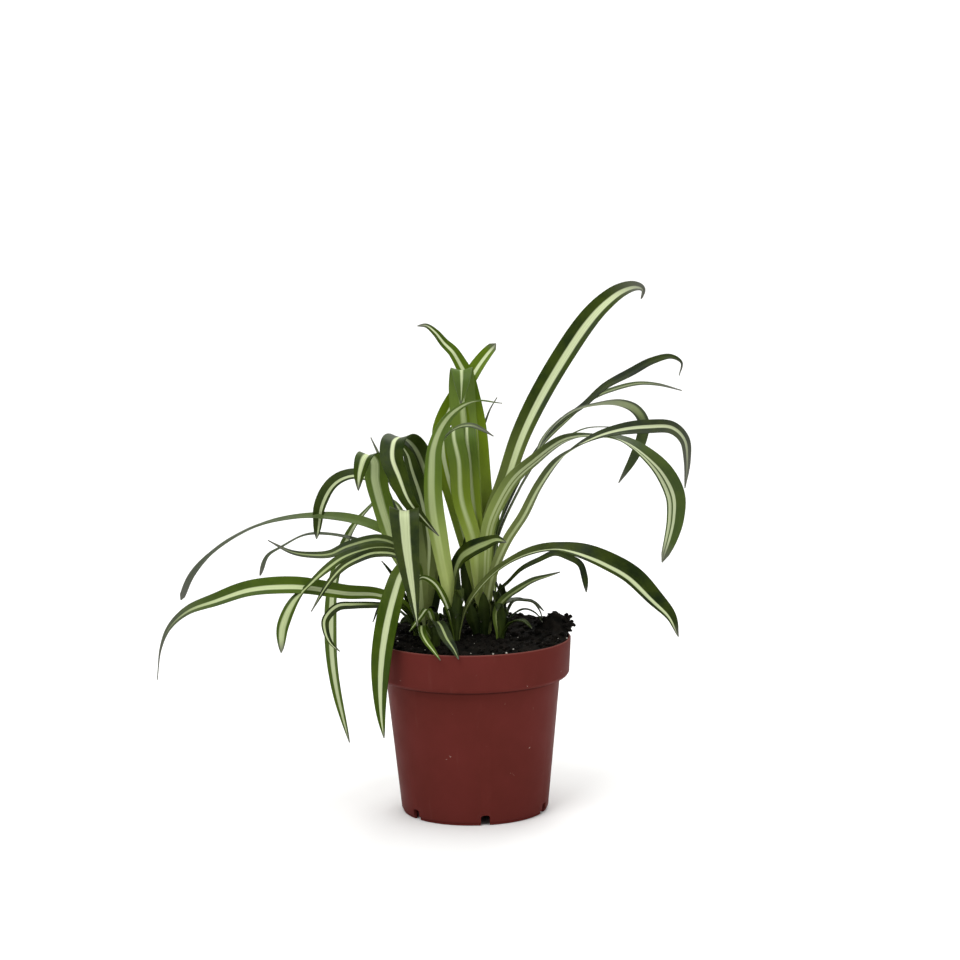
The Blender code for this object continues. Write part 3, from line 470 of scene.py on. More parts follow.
shootRight = {"centre": (5, 4), "lowLeaves": 18, "reach": 8.5, "leaves": [
    # the longest leaf, then those that arch to the right
    (15, (75, 75, 75, 75, 75, 75, 75, 75, 75, 62, 35), 9.8, 0.5, 0.72, 0.4, "long",
     [(6, 4, 82), (7, 6, 110), (8, 8, 130), (16, 12, 150), (23, 17, 169), (31, 22, 185),
      (42, 27, 203), (55, 33, 221), (63, 36, 229), (71, 39, 234.4), (78, 41, 236.3),
      (81.5, 42, 235), (81, 42, 230.5)]),
    (-15, (-75, -75, -60, -30, 5, 70, 75), 9.0, 0.55, 0.8, 0.5, "lined",
     [(5, 2, 82), (6, 1, 108), (8, -1, 130), (13, -3, 142), (20, -6, 153), (29, -9, 161),
      (43, -14, 171), (56, -18, 173), (68, -21, 171), (78, -24, 165), (86, -25, 157),
      (91, -25, 147), (91, -26, 137), (89, -26, 128), (85, -26, 117)]),
    (-30, (-45, -40, -28, -8, 35, 75, 40), 6.8, 0.6, 0.7, 0.75, "bright",
     [(6, 0, 82), (9, -3, 106), (16, -8, 124), (24, -13, 137), (31, -19, 151), (41, -27, 165),
      (55, -35, 174), (66, -41, 178), (78, -47, 180), (88, -52, 180), (93, -54, 175),
      (94, -55, 166), (93, -55, 154)]),
    (10, 0, 2.6, 0.7, 0.5, 0.75, "fine",
     [(5, 5, 82), (12, 8, 125), (24, 11, 156), (35, 13, 165), (44, 15, 169), (54, 17, 173),
      (69, 20, 173)]),
    (20, (-10, -10, -10, -10, -20, -60, -75), 5.2, 0.4, 0.85, 0.75, "greyDark",
     [(6, 5, 82), (12, 8, 122), (23, 12, 146), (29, 14, 156), (34, 16, 168), (41, 18, 176),
      (49, 20, 181), (60, 24, 183), (70, 27, 183), (77, 29, 180), (81, 31, 174), (80, 31, 166),
      (76, 30, 157), (69, 28, 146)]),
    (25, (-20, -20, -20, -15, 5, 35, 60), 5.2, 0.4, 0.75, 0.75, "deep",
     [(6, 6, 82), (12, 11, 124), (21, 16, 145), (31, 22, 162), (42, 27, 174), (54, 32, 182),
      (64, 38, 190), (76, 42, 196), (86, 45, 201), (95, 46, 203), (100, 47, 200), (99, 47, 194)]),
    (30, (-20, -20, 0, 45), 3.6, 0.45, 0.75, 0.75, "fine",
     [(7, 7, 82), (12, 15, 122), (22, 23, 148), (34, 30, 164), (45, 36, 174), (58, 43, 184),
      (69, 47, 188), (80, 51, 190), (90, 55, 189), (101, 57, 186)]),
    # tall stem, its tip folded forward, and the two that run behind it
    (-90, 0, 12.0, 0.45, 0.8, 0.9, "stem",
     [(5, 4, 82), (3, 6, 118), (0, 9, 145), (-2, 12, 170), (-3, 14, 190), (-3, 13, 199),
      (-3, 10, 201), (-3, 7, 197), (-3.5, 6, 186)]),
    (180, (-70, -60), 10.5, 0.5, 0.35, 0.6, "twoTone",
     [(6, 6, 82), (6, 9, 114), (5, 12, 141), (4, 14, 160), (3, 16, 177), (1, 17, 189),
      (-1, 18, 198), (-4, 19, 204), (-7, 19, 209), (-11, 20, 213), (-15, 20, 218), (-19, 21, 221),
      (-23, 21, 221)]),
    (90, 0, 7.7, 0.5, 0.7, 0.25, "oliveTip",
     [(4, 6, 82), (3, 7, 98), (0, 9, 111), (-4, 11, 126), (-8, 12, 142), (-11, 13, 153),
      (-13, 14, 164), (-13, 17, 173), (-10, 20, 181), (-5, 23, 189), (0, 26, 195.5), (4.5, 29, 202),
      (9, 31.5, 207.5), (13, 33, 211.5)]),
    # a pair side by side before the tall stem, folded to the back
    (100, 0, 9.5, 0.45, 0.85, 0.75, "stem",
     [(5, 3, 82), (3, 2, 108), (1, 1, 125), (-4, 1, 143), (-5, 1, 161), (-7, 2, 171), (-7, 5, 175),
      (-6, 8, 174), (-6, 9, 166)]),
    (85, 0, 8.5, 0.45, 0.85, 0.75, "stem",
     [(6, 4, 82), (5, 4, 108), (3, 4, 125), (1, 4, 143), (0, 4, 160), (-1, 4, 170), (-1, 7, 175),
      (-1, 9.5, 174), (-1, 10, 166)]),
    (0, (50, 50), 2.6, 0.8, 0.4, 0.75, "dull",
     [(6, 9, 82), (8, 14, 120), (6, 19, 150), (5, 19, 168), (8, 18, 178), (10, 17, 183),
      (13, 16, 188)]),
    # leaves that arch to the back, and low ones
    (90, 0, 8.5, 0.5, 0.55, 0.75, "striped",
     [(5, 7, 82), (4, 22, 130), (3, 44, 160), (1, 68, 160), (0, 88, 134), (0, 96, 104)]),
    (80, 0, 7.5, 0.5, 0.55, 0.75, "striped",
     [(6, 7, 82), (8, 18, 116), (9, 36, 136), (10, 58, 132), (10, 76, 108), (11, 84, 80)]),
    (0, 0, 3.2, 0.7, 0.5, 0.75, "deep",
     [(8, 3, 82), (10, 4, 95), (14, 5, 100), (18, 5, 97)]),
    (50, 0, 5.0, 0.5, 0.5, 0.75, "deep",
     [(7, 6, 82), (12, 15, 90), (20, 26, 92), (28, 37, 89), (34, 45, 83)]),
    (95, 0, 6.5, 0.5, 0.5, 0.75, "striped",
     [(3, 8, 82), (1, 20, 93), (-2, 34, 97), (-5, 47, 91), (-7, 55, 80)]),
    # dark leaves close round the crown
    (-90, 0, 5.5, 0.6, 0.6, 0.75, "deep",
     [(2, 7, 82), (-1, 8, 94), (-2.3, 9, 108), (-2.6, 9.5, 125)]),
    (-90, 0, 5.5, 0.6, 0.5, 0.75, "deep",
     [(5.5, -1.8, 82), (5.6, -2.8, 90), (5.2, -3.2, 101)]),
    (-90, 0, 5.5, 0.6, 0.5, 0.75, "deep",
     [(2, -1, 82), (0, -2, 89), (-1, -2.5, 96)]),
]}

shootSide = {"centre": (13, -7), "lowLeaves": 8, "reach": 5.5, "leaves": [
    (0, (0, 60), 3.4, 0.6, 0.9, 0.75, "deep",
     [(12, -7, 82), (10, -6, 92), (12, -6, 101), (17, -6, 106), (23, -7, 112), (31, -7, 116),
      (38, -8, 119), (44, -8, 117), (49, -8, 114), (51, -8, 108), (52, -8, 101)]),
    (-20, (-40, -40), 4.2, 0.6, 0.5, 0.75, "dusk",
     [(12, -8, 82), (11, -9, 92), (14, -11, 98), (20, -13, 103), (28, -15, 108), (34, -16, 110),
      (40, -17, 112)]),
    (20, 0, 2.6, 0.7, 0.5, 0.75, "deep",
     [(14, -6, 82), (16, -4, 91), (19, -2, 96), (24, 0, 96), (28, 0, 95), (31, 0, 91),
      (32, 0, 88)]),
    (0, 0, 2.6, 0.7, 0.5, 0.75, "deep",
     [(14, -7, 82), (18, -6, 90), (24, -5, 93), (29, -5, 91), (32, -5, 87)]),
    (-30, 0, 4.2, 0.6, 0.55, 0.75, "deep",
     [(14, -8, 82), (18, -11, 88), (23, -13, 89), (27, -15, 86)]),
]}

shootFront = {"centre": (-17, -21), "lowLeaves": 4, "reach": 4.0, "leaves": [
    (-110, 0, 3.2, 0.8, 0.5, 0.75, "striped",
     [(-17, -21, 82), (-18, -22, 92), (-20, -24, 97), (-23, -27, 94), (-28, -29, 88)]),
    (-90, 0, 3.4, 0.7, 0.5, 0.75, "marked",
     [(-18, -21, 82), (-22, -26, 90), (-22, -32, 88), (-20, -38, 85), (-17, -43, 82),
      (-14, -46.5, 78.5)]),
    (-90, 0, 5.4, 0.55, 0.55, 0.75, "markedDark",
     [(-16, -21, 82), (-16, -24, 91), (-14, -31, 91), (-11, -38, 86), (-8, -44, 82.5),
      (-6, -47.5, 79)]),
]}

blade = {
    "across": 12, "along": 76,  # faces in the flat blade
    "thickness": 0.4,
    "gutter": 0.28,  # rise of the edges over the midrib, as a share of half the width
    "gutterPower": 1.2,
    "spacing": 9.0, "bend": 14.0,  # millimetres, and degrees, that a row may span
    "tipWidth": 0.35,
    "wave": 0.05, "waves": 5.0,  # edge ripple as a share of half the width, ripples in a length
    "waveSlant": 2.1, "waveStep": 1.7,  # ripple's lag over the width, and from leaf to leaf
    "rootPower": 1.5,  # how fast a leaf widens from its root
    "below": 5.0,  # how far a leaf starts under its first point, in the soil
    "curveSteps": 24,  # between two points of a route
    "smooth": 50,
}
lowLeaf = {  # the small dark leaves round each crown
    "turn": 20, "away": (0.5, 1.1), "height": (6, 16), "taller": (1, 1, 1.5),
    "soil": 81.5, "arc": ((0.3, 0), (0.5, 0.6), (0.8, 1), (1.15, 0.8)),  # shares out and up
    "roll": 40, "width": (3.4, 6.0), "shape": (0.6, 0.5, 0.75),  # root, widest and tail
}


def modelBlade():  # a flat grid whose columns are lifted step by step into a shallow gutter
    clearSelection()
    bpy.ops.mesh.primitive_grid_add(x_subdivisions=blade["across"], y_subdivisions=blade["along"],
                                    size=2, location=(0, 0, 0))
    thing = bpy.context.object
    thing.name = "flatBlade"
    half = blade["across"] // 2
    for step in range(1, half + 1):
        rise = (step / half) ** blade["gutterPower"] - ((step - 1) / half) ** blade["gutterPower"]
        editVertices(thing, lambda co: abs(co.x) > (step - 0.5) / half)
        bpy.ops.transform.translate(value=(0, 0, rise * blade["gutter"]))
        leaveEditing()
    return thing


def smoothRoute(points):  # an even curve through the points
    points = np.array(points, float)
    points = np.vstack([2 * points[0] - points[1], points, 2 * points[-1] - points[-2]])
    curve = []
    for p0, p1, p2, p3 in zip(points, points[1:], points[2:], points[3:]):
        t1 = np.linalg.norm(p1 - p0) ** 0.5
        t2 = t1 + np.linalg.norm(p2 - p1) ** 0.5
        t3 = t2 + np.linalg.norm(p3 - p2) ** 0.5
        for t in np.linspace(t1, t2, blade["curveSteps"], endpoint=False):
            a1 = p0 * (t1 - t) / t1 + p1 * t / t1
            a2 = p1 * (t2 - t) / (t2 - t1) + p2 * (t - t1) / (t2 - t1)
            a3 = p2 * (t3 - t) / (t3 - t2) + p3 * (t - t2) / (t3 - t2)
            b1 = a1 * (t2 - t) / t2 + a2 * t / t2
            b2 = a2 * (t3 - t) / (t3 - t1) + a3 * (t - t1) / (t3 - t1)
            curve.append(b1 * (t2 - t) / (t2 - t1) + b2 * (t - t1) / (t2 - t1))
    curve.append(points[-2])
    return np.array(curve)


def unit(vector):
    return vector / np.linalg.norm(vector)


def bladeWidth(width, root, widest, tail, share):
    if share < widest:
        swell = sin(pi / 2 * share / widest) ** blade["rootPower"]
        return width * (root + (1 - root) * swell)
    return max(blade["tipWidth"], width * cos(pi / 2 * (share - widest) / (1 - widest)) ** tail)


def layBlade(flat, leaf, seed):  # a copy of the flat blade, laid along one leaf's route
    heading, roll, width, root, widest, tail, lookName, route = leaf
    rolls = np.atleast_1d(roll)
    curve = smoothRoute([(*route[0][:2], route[0][2] - blade["below"]), *route])
    steps = np.diff(curve, axis=0)
    lengths = np.linalg.norm(steps, axis=1)
    ways = steps / lengths[:, None]
    bends = np.degrees(np.arccos(np.clip((ways[1:] * ways[:-1]).sum(axis=1), -1, 1)))
    effort = lengths / blade["spacing"]
    effort[1:] += bends / blade["bend"]
    reach = np.concatenate([[0], np.cumsum(lengths)])
    spent = np.concatenate([[0], np.cumsum(effort)])
    places = reach[1:] - lengths / 2
    total, rows = reach[-1], []
    level = np.array([sin(radians(heading)), -cos(radians(heading)), 0])
    for row in range(blade["along"] + 1):
        at = np.interp(spent[-1] * row / blade["along"], spent, reach)
        centre = np.array([np.interp(at, reach, curve[:, axis]) for axis in range(3)])
        way = unit(np.array([np.interp(at, places, ways[:, axis]) for axis in range(3)]))
        share = max(0.0, (at - blade["below"]) / (total - blade["below"]))
        across = unit(level - way * level.dot(way))
        upward = np.cross(across, way)
        turn = radians(np.interp(share, np.linspace(0, 1, len(rolls)), rolls))
        rows.append((centre, across * cos(turn) - upward * sin(turn),
                     upward * cos(turn) + across * sin(turn),
                     bladeWidth(width, root, widest, tail, share) / 2, share))
    thing = copyOf(flat)
    mesh = thing.data
    shares = np.zeros(len(mesh.vertices))
    sides = np.zeros(len(mesh.vertices))
    for vert in mesh.vertices:
        row = round((vert.co.y + 1) / 2 * blade["along"])
        centre, across, upward, half, share = rows[row]
        phase = 2 * pi * blade["waves"] * share + seed + blade["waveSlant"] * vert.co.x
        ripple = blade["wave"] * vert.co.x ** 2 * sin(phase)
        ripple *= sin(pi * share)
        shares[vert.index], sides[vert.index] = share, vert.co.x
        vert.co = Vector(centre + half * (across * vert.co.x + upward * (vert.co.z + ripple))) * mm
    chart = mesh.uv_layers["UVMap"].data
    for loop in mesh.loops:
        chart[loop.index].uv = ((sides[loop.vertex_index] + 1) / 2, shares[loop.vertex_index])
    for key, value in leafLooks[lookName].items():
        stops = np.atleast_1d(value)
        values = np.interp(shares, np.linspace(0, 1, len(stops)), stops)
        mesh.attributes.new(key, "FLOAT", "POINT").data.foreach_set("value", values)
    return thing


def makeShoot(name, node, shoot, flat):
    things = [layBlade(flat, leaf, blade["waveStep"] * number)
              for number, leaf in enumerate(shoot["leaves"])]
    x, y = shoot["centre"]
    chance = Random(name)
    for number in range(shoot["lowLeaves"]):
        turn = chance.uniform(-lowLeaf["turn"], lowLeaf["turn"])
        heading = 360 * number / shoot["lowLeaves"] + turn
        away = shoot["reach"] * chance.uniform(*lowLeaf["away"])
        height = chance.uniform(*lowLeaf["height"]) * lowLeaf["taller"][number % 3]
        route = [(x + cos(radians(heading)) * away * out, y + sin(radians(heading)) * away * out,
                  lowLeaf["soil"] + height * up) for out, up in lowLeaf["arc"]]
        rolls = (0, chance.uniform(-lowLeaf["roll"], lowLeaf["roll"]))
        width = chance.uniform(*lowLeaf["width"])
        leaf = (heading, rolls, width, *lowLeaf["shape"], "deep", route)
        things.append(layBlade(flat, leaf, number))
    piece = joinAll(things, name)
    solid = piece.modifiers.new("thickness", "SOLIDIFY")
    solid.thickness = blade["thickness"] * mm
    solid.offset = 0
    solid.material_offset = 1
    solid.material_offset_rim = 0
    finishPiece(piece, node, "leaf", leafUpper, leafUnder)
    applyAll(piece)
    smoothByAngle(piece, blade["smooth"])
    print(name, "made of", len(things), "blades,", len(piece.data.polygons), "faces")


flatBlade = modelBlade()
makeShoot("leavesLeft", "shoot_left", shootLeft, flatBlade)
makeShoot("leavesMiddle", "shoot_middle", shootMiddle, flatBlade)
makeShoot("leavesRight", "shoot_right", shootRight, flatBlade)
makeShoot("leavesSide", "shoot_side", shootSide, flatBlade)
makeShoot("leavesFront", "shoot_front", shootFront, flatBlade)
bpy.data.objects.remove(flatBlade, do_unlink=True)

# pot

potShape = {
    "sides": 128,
    # radius and height of each ring, from the centre pad round the rim to the floor inside
    "rings": [(12.0, 3.0), (31.8, 3.0), (31.8, 0.0), (33.0, 0.0), (33.0, 1.5), (33.7, 1.5),
              (39.9, 62.5), (43.1, 62.5), (44.1, 63.9), (45.0, 79.4), (44.4, 80.0), (43.8, 79.4),
              (42.97, 64.0), (38.85, 64.0), (32.77, 4.2), (11.4, 4.2), (9.4, 1.2)],
    "pad": 10.0,
    "edge": 0.28, "edgeSteps": 3, "edgeAngle": 28,  # rounding of the moulded edges
    "notches": [60 * step - 82 for step in range(6)],
    "notchWidth": 4.2, "notchHeight": 4.8, "notchBelow": 1, "notchFrom": 27.0, "notchTo": 37.0,
    "notchRound": 1.3, "roundSteps": 4,  # the cut starts a little below the foot
    "smooth": 35,
    "bodyTint": tint(97, 41, 37), "cloudTint": tint(90, 38, 33), "wornTint": tint(128, 84, 76),
    # the darkest tint on the next line is painted shade, laid as a band under the rim
    "underRimShadeTint": tint(52, 22, 20), "speckTint": tint(190, 160, 150), "scuffTint": tint(120, 76, 70),
}


def makePot():
    clearSelection()
    bpy.ops.mesh.primitive_circle_add(vertices=potShape["sides"], radius=potShape["pad"] * mm,
                                      fill_type="TRIFAN", location=(0, 0, 0))
    pot = bpy.context.object
    radius, height = potShape["pad"], 0.0
    editVertices(pot, lambda co: co.length > 1 * mm)  # the pad's edge
    for nextRadius, nextHeight in potShape["rings"]:
        extrude((nextHeight - height) * mm)
        grow = nextRadius / radius
        bpy.ops.transform.resize(value=(grow, grow, 1), center_override=(0, 0, nextHeight * mm))
        radius, height = nextRadius, nextHeight
    extrude()
    bpy.ops.mesh.merge(type="CENTER")
    bpy.ops.mesh.select_all(action="SELECT")
    bpy.ops.mesh.remove_doubles(threshold=0.000001)
    bpy.ops.mesh.normals_make_consistent(inside=False)
    leaveEditing()
    edges = pot.modifiers.new("edges", "BEVEL")
    edges.width = potShape["edge"] * mm
    edges.segments = potShape["edgeSteps"]
    edges.limit_method = "ANGLE"
    edges.angle_limit = radians(potShape["edgeAngle"])
    applyAll(pot)
    cutters = []
    for angle in potShape["notches"]:
        clearSelection()
        bpy.ops.mesh.primitive_cube_add(size=1 * mm, location=(0, 0, 0))
        cutter = bpy.context.object
        editVertices(cutter, lambda co: True)
        bpy.ops.transform.resize(value=(
            potShape["notchTo"] - potShape["notchFrom"], potShape["notchWidth"],
            potShape["notchHeight"] + potShape["notchBelow"]))
        bpy.ops.transform.translate(value=(
            (potShape["notchFrom"] + potShape["notchTo"]) / 2 * mm, 0,
            (potShape["notchHeight"] - potShape["notchBelow"]) / 2 * mm))
        leaveEditing()
        editVertices(cutter, lambda co: co.z > 0)  # round the notch's top
        bpy.ops.mesh.select_mode(type="EDGE")
        bpy.ops.mesh.bevel(offset=potShape["notchRound"] * mm, segments=potShape["roundSteps"],
                           affect="EDGES")
        leaveEditing()
        cutter.data.transform(Quaternion((0, 0, 1), radians(angle)).to_matrix().to_4x4())
        cutters.append(cutter)
    cutter = joinAll(cutters, "notchCutter")
    cut = pot.modifiers.new("notches", "BOOLEAN")
    cut.object = cutter
    cut.solver = "EXACT"
    applyAll(pot)
    bpy.data.objects.remove(cutter, do_unlink=True)
    smoothByAngle(pot, potShape["smooth"])
    pot.name = "potShell"
    return pot


def potMaterial():
    material, tree, shader = newMaterial("potPlastic", **{"Roughness": 0.5,
                                                          "Specular IOR Level": 0.015})
    spot = addNode(tree, "TexCoord").outputs["Object"]
    clouds = patches(tree, spot, scale=34.0, cut=0.5, soft=0.25)
    colour = blendColour(tree, clouds, potShape["bodyTint"], potShape["cloudTint"])
    # worn along the lip, and painted shade as a dark band just under the rim band
    worn = useGroup(tree, bandGroup, {"Place": spot, "Height": 0.0800, "Reach": 0.0008})
    colour = paintOver(tree, colour, worn, 0.5, potShape["wornTint"])
    underRimShade = useGroup(tree, bandGroup, {"Place": spot, "Height": 0.0619, "Reach": 0.0012})
    colour = paintOver(tree, colour, underRimShade, 0.8, potShape["underRimShadeTint"])
    specks = patches(tree, spot, scale=240.0, cut=0.72, soft=0.02)
    colour = paintOver(tree, colour, specks, 0.9, potShape["speckTint"])
    smear = addNode(tree, "Mapping", {"Vector": spot, "Scale": (60.0, 60.0, 10.0)}).outputs[0]
    scuffs = patches(tree, smear, scale=2.0, cut=0.66, soft=0.06)
    colour = paintOver(tree, colour, scuffs, 0.12, potShape["scuffTint"])
    tree.links.new(colour, shader.inputs["Base Color"])
    tree.links.new(ramped(tree, calc(tree, "MAXIMUM", clouds, scuffs), 0.0, 1.0, 0.4, 0.52),
                   shader.inputs["Roughness"])
    grain = addNode(tree, "TexNoise", {"Vector": spot, "Scale": 1500.0, "Detail": 3.0})
    bumpInto(tree, shader, grain.outputs["Fac"], 0.12, 0.0001)
    return material


finishPiece(makePot(), "pot", "pot", potMaterial())
print("pot made")

# soil

soilShape = {
    "cells": 150, "radius": 43.3, "level": 81.0,
    "rearRise": 2.2, "riseOver": 43.8,  # it lies higher at the back, by this much over this length
    "heaps": [(38.0, 5.0, 8.2, 7.5), (-35.0, -4.0, 1.5, 6.0), (22.0, 26.0, 1.6, 9.0),
              (-12.0, 28.0, 1.2, 10.0)],  # x, y, height, radius
    "edgeBand": 1.6, "edgeHeight": 79.4, "edgeDrop": 0.9,  # the soil falls off to the pot's wall
    "overhang": 3.6,  # how far the heap by the rim bulges over it
    "bulgeFrom": 83.0, "bulgeSpan": 3.5, "bulgePower": 1.3,
    "lump": (6.0, 1.1), "crumb": (2.2, 0.8), "grit": (0.9, 0.35),  # size and height
    "layerGap": 40.0 / 2.4,  # keeps the three layers of noise apart
    "underRings": [(43.3, 78.6), (42.6, 64.4), (38.5, 64.4), (32.5, 4.6)],  # radius and height
    "smooth": 60,
    "clodTint": tint(9, 8, 6), "crumbTint": tint(25, 21, 17), "fleckTint": tint(60, 54, 46),
}


def soilTop(x, y):
    height = soilShape["level"] + soilShape["rearRise"] * y / soilShape["riseOver"]
    for heapX, heapY, rise, spread in soilShape["heaps"]:
        height += rise * np.exp(-((x - heapX) ** 2 + (y - heapY) ** 2) / spread ** 2)
    for layer, key in enumerate(("lump", "crumb", "grit")):
        size, rise = soilShape[key]
        height += rise * noise.noise(Vector((x / size, y / size, layer * soilShape["layerGap"])))
    return height


def makeSoil():
    clearSelection()
    cells = soilShape["cells"]
    bpy.ops.mesh.primitive_grid_add(x_subdivisions=cells, y_subdivisions=cells, size=2,
                                    location=(0, 0, 0))
    soil = bpy.context.object
    radius, band, drop = soilShape["radius"], soilShape["edgeBand"], soilShape["edgeDrop"]
    rimVerts = set()
    for vert in soil.data.vertices:  # the square grid becomes a disc
        x, y = vert.co.x, vert.co.y
        if max(abs(x), abs(y)) > 0.9999:
            rimVerts.add(vert.index)
        x, y = x * (1 - y * y / 2) ** 0.5 * radius, y * (1 - x * x / 2) ** 0.5 * radius
        edge = max(0.0, (x * x + y * y) ** 0.5 - (radius - band)) / band
        top = soilTop(x, y)
        heaped = min(1.0, max(0.0, top - soilShape["bulgeFrom"]) / soilShape["bulgeSpan"])
        bulge = heaped * sin(pi * edge ** soilShape["bulgePower"])
        out = 1 + soilShape["overhang"] * bulge / radius
        fall = (soilShape["edgeHeight"] - top) * edge ** 2 * (drop + (1 - drop) * heaped)
        vert.co = Vector((x * out, y * out, top + fall)) * mm
    editVertices(soil, lambda co: False)
    leaveEditing()
    for index in rimVerts:
        soil.data.vertices[index].select = True
    bpy.ops.object.mode_set(mode="EDIT")
    bpy.ops.mesh.select_mode(type="VERT")
    for nextRadius, nextHeight in soilShape["underRings"]:
        extrude()
        bpy.ops.transform.resize(value=(nextRadius / radius, nextRadius / radius, 0),
                                 center_override=(0, 0, nextHeight * mm))
        radius = nextRadius
    bpy.ops.mesh.edge_face_add()
    bpy.ops.mesh.select_all(action="SELECT")
    bpy.ops.mesh.normals_make_consistent(inside=False)
    leaveEditing()
    smoothByAngle(soil, soilShape["smooth"])
    soil.name = "soilBed"
    return soil


grainShape = {
    "crumbs": 460, "crumbSize": (0.5, 1.5), "crumbRough": 0.5,
    "perlite": 46, "perliteSize": (0.2, 0.45), "perliteRough": 0.35,
    "pushes": ((0, 0.25), (1, -0.2), (2, 0.15)), "pushFrom": 0.3,  # axis and push
    "bumpScale": 2.3, "within": 42.6, "lift": 0.15,
    "depth": (0.6, 1.0), "height": (0.5, 0.9),  # shares of the width
    "smooth": 40,
    "perliteTint": tint(184, 180, 170), "dirtTint": tint(96, 90, 82),
    # degrees round the rim, radius and height
    "rimPerlite": [(-12, 43.9, 80.1), (-70, 43.9, 80.1), (-78, 43.9, 80.1), (-150, 43.8, 80.1)],
    "rimCrumbs": [(-3, 45.0, 84.6), (0, 45.7, 85.0), (3, 46.0, 84.2), (7, 45.9, 85.2),
                  (11, 45.4, 84.6), (5, 44.6, 87.2), (9, 44.0, 87.6), (1, 44.2, 87.0),
                  (14, 44.8, 84.2), (-6, 44.2, 83.0)],
}


def modelGrain(name, rough):
    clearSelection()
    bpy.ops.mesh.primitive_ico_sphere_add(subdivisions=2, radius=1, location=(0, 0, 0))
    grain = bpy.context.object
    grain.name = name
    for axis, push in grainShape["pushes"]:
        editVertices(grain, lambda co: co[axis] * (1 if push > 0 else -1) > grainShape["pushFrom"])
        shift = [0.0, 0.0, 0.0]
        shift[axis] = push
        bpy.ops.transform.translate(value=shift)
        leaveEditing()
    for vert in grain.data.vertices:
        vert.co *= 1 + rough * noise.noise(vert.co * grainShape["bumpScale"])
    return grain


def scatter(name, grain, count, sizes, chance, places):
    things = []
    for number in range(count + len(places)):
        if number < count:
            angle = chance.uniform(0, 2 * pi)
            radius = grainShape["within"] * chance.random() ** 0.5
            x, y = radius * cos(angle), radius * sin(angle)
            z = soilTop(x, y)
        else:
            angle, radius, z = places[number - count]
            x, y = radius * cos(radians(angle)), radius * sin(radians(angle))
        size = chance.uniform(*sizes)
        copy = copyOf(grain)
        turn = Quaternion((chance.uniform(-1, 1), chance.uniform(-1, 1), chance.uniform(-1, 1)),
                          chance.uniform(0, 2 * pi)).normalized().to_matrix()
        stretch = (1, chance.uniform(*grainShape["depth"]), chance.uniform(*grainShape["height"]))
        for vert in copy.data.vertices:
            local = turn @ Vector([vert.co[axis] * stretch[axis] * size for axis in range(3)])
            vert.co = (local + Vector((x, y, z + grainShape["lift"] * size))) * mm
        things.append(copy)
    bpy.data.objects.remove(grain, do_unlink=True)
    return joinAll(things, name)


def soilMaterial():
    material, tree, shader = newMaterial("peat", **{"Roughness": 0.95, "Specular IOR Level": 0.08})
    spot = addNode(tree, "TexCoord").outputs["Object"]
    clods = patches(tree, spot, scale=260.0, cut=0.52, soft=0.16)
    colour = blendColour(tree, clods, soilShape["clodTint"], soilShape["crumbTint"])
    flecks = patches(tree, spot, scale=900.0, cut=0.7, soft=0.04)
    colour = paintOver(tree, colour, flecks, 0.6, soilShape["fleckTint"])
    tree.links.new(colour, shader.inputs["Base Color"])
    rough = addNode(tree, "TexNoise", {"Vector": spot, "Scale": 1100.0, "Detail": 6.0,
                                       "Roughness": 0.7})
    bumpInto(tree, shader, rough.outputs["Fac"], 0.8, 0.0005)
    return material


def perliteMaterial():
    material, tree, shader = newMaterial("perlite", **{"Roughness": 0.85})
    spot = addNode(tree, "TexCoord").outputs["Object"]
    dirt = patches(tree, spot, scale=700.0, cut=0.55, soft=0.15)
    colour = blendColour(tree, dirt, grainShape["perliteTint"], grainShape["dirtTint"])
    tree.links.new(colour, shader.inputs["Base Color"])
    return material


peat = soilMaterial()
finishPiece(makeSoil(), "soil", "soil", peat)
chance = Random(11)
crumbs = scatter("soilCrumbs", modelGrain("crumb", grainShape["crumbRough"]), grainShape["crumbs"],
                 grainShape["crumbSize"], chance, grainShape["rimCrumbs"])
finishPiece(crumbs, None, "soil", peat)
perlite = scatter("perliteGrains", modelGrain("grain", grainShape["perliteRough"]),
                  grainShape["perlite"], grainShape["perliteSize"], chance,
                  grainShape["rimPerlite"])
finishPiece(perlite, None, "soil", perliteMaterial())
smoothByAngle(perlite, grainShape["smooth"])
print("soil made")

# floor, light and camera

stageShape = {
    "floorSize": 6.0, "floorTint": (0.86, 0.86, 0.85, 1.0),
    "wall": 1.6, "wallHeight": 3.0, "sweep": 0.5, "sweepSteps": 16, "smooth": 60,
    "worldTint": (1.0, 1.0, 1.0, 1.0), "worldStrength": 0.38,
}
lights = {  # place, target and size in metres, then power in watts
    "keyLight": ((-0.6, -1.0, 1.6), (0, 0, 0.12), 0.9, 19),
    "fillLight": ((1.2, -1.0, 0.9), (0, 0, 0.12), 1.0, 6),
    "backLight": ((0.3, 0.9, 1.5), (0, 0, 0.15), 0.8, 9),
    "backdropLight": ((0, 0.2, 2.0), (0, 1.6, 0.2), 1.6, 22),
}
cameraView = {  # target and distance in millimetres, elevation and roll in degrees
    "target": (4.6, 0.0, 152.0), "elevation": 7.29, "distance": 1134.0, "roll": -0.91,
    "lens": 93.75, "sensor": 36.0,
}


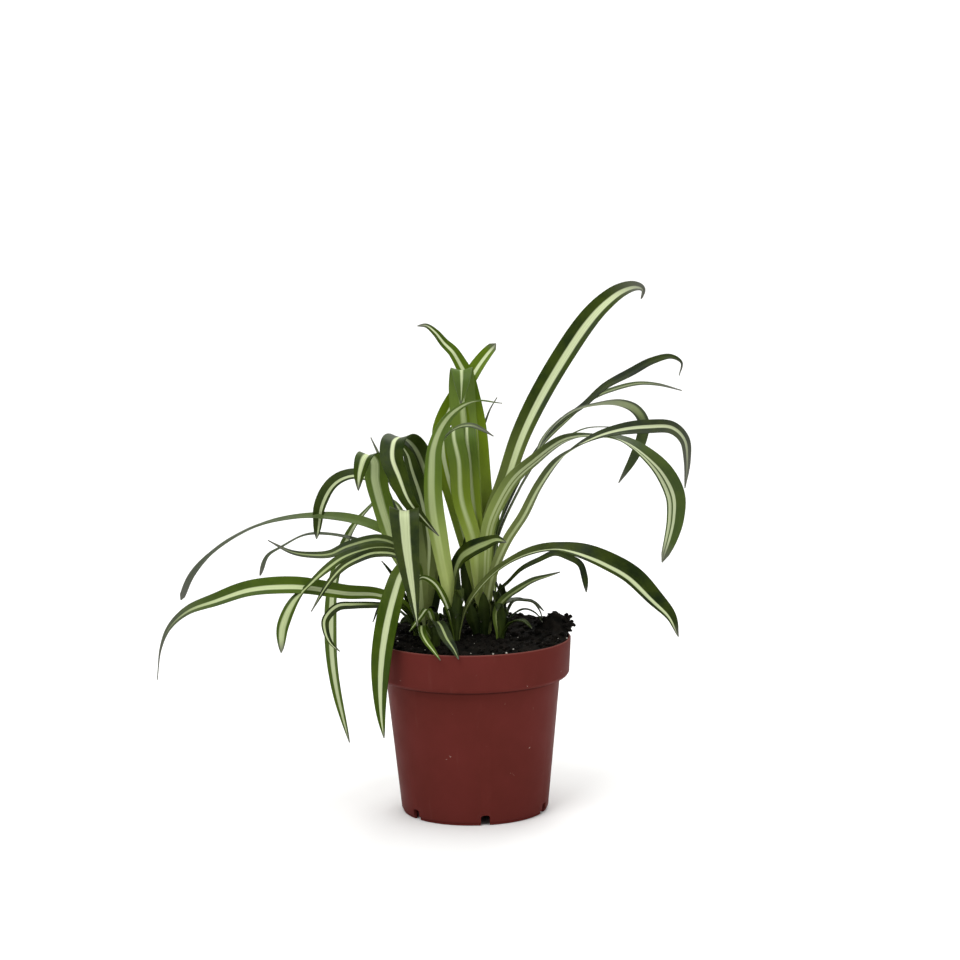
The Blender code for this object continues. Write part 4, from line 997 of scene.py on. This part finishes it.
def makeFloor():  # a plane drawn up at the back in one sweep
    clearSelection()
    bpy.ops.mesh.primitive_plane_add(size=stageShape["floorSize"], location=(0, 0, 0))
    floor = bpy.context.object
    editVertices(floor, lambda co: co.y > 0)
    bpy.ops.transform.translate(value=(0, stageShape["wall"] - stageShape["floorSize"] / 2, 0))
    extrude(stageShape["wallHeight"])
    leaveEditing()
    sweep = floor.modifiers.new("sweep", "BEVEL")
    sweep.width = stageShape["sweep"]
    sweep.segments = stageShape["sweepSteps"]
    sweep.limit_method = "ANGLE"
    applyAll(floor)
    smoothByAngle(floor, stageShape["smooth"])
    paper = newMaterial("palePaper", **{"Base Color": stageShape["floorTint"], "Roughness": 0.9})[0]
    floor.data.materials.append(paper)
    floor.name = "paleFloor"


def addLight(name, place, target, size, power):
    lamp = bpy.data.lights.new(name, "AREA")
    lamp.shape = "SQUARE"
    lamp.size = size
    lamp.energy = power
    thing = bpy.data.objects.new(name, lamp)
    thing.location = place
    thing.rotation_mode = "QUATERNION"
    thing.rotation_quaternion = (Vector(target) - Vector(place)).to_track_quat("-Z", "Y")
    bpy.context.scene.collection.objects.link(thing)


makeFloor()
for lightName, settings in lights.items():
    addLight(lightName, *settings)

world = bpy.context.scene.world or bpy.data.worlds.new("studio")
bpy.context.scene.world = world
world.use_nodes = True
background = world.node_tree.nodes["Background"]
background.inputs["Color"].default_value = stageShape["worldTint"]
background.inputs["Strength"].default_value = stageShape["worldStrength"]
bpy.context.scene.view_settings.view_transform = "Standard"

tilt = radians(cameraView["elevation"])
back = Vector((0, -cos(tilt), sin(tilt)))
cameraData = bpy.data.cameras.new("camera")
cameraData.lens = cameraView["lens"]
cameraData.sensor_width = cameraView["sensor"]
camera = bpy.data.objects.new("camera", cameraData)
camera.location = (Vector(cameraView["target"]) + back * cameraView["distance"]) * mm
camera.rotation_mode = "QUATERNION"
camera.rotation_quaternion = ((-back).to_track_quat("-Z", "Y")
                              @ Quaternion((0, 0, 1), radians(cameraView["roll"])))
bpy.context.scene.collection.objects.link(camera)
bpy.context.scene.camera = camera
print("stage set")

bpy.context.view_layer.update()
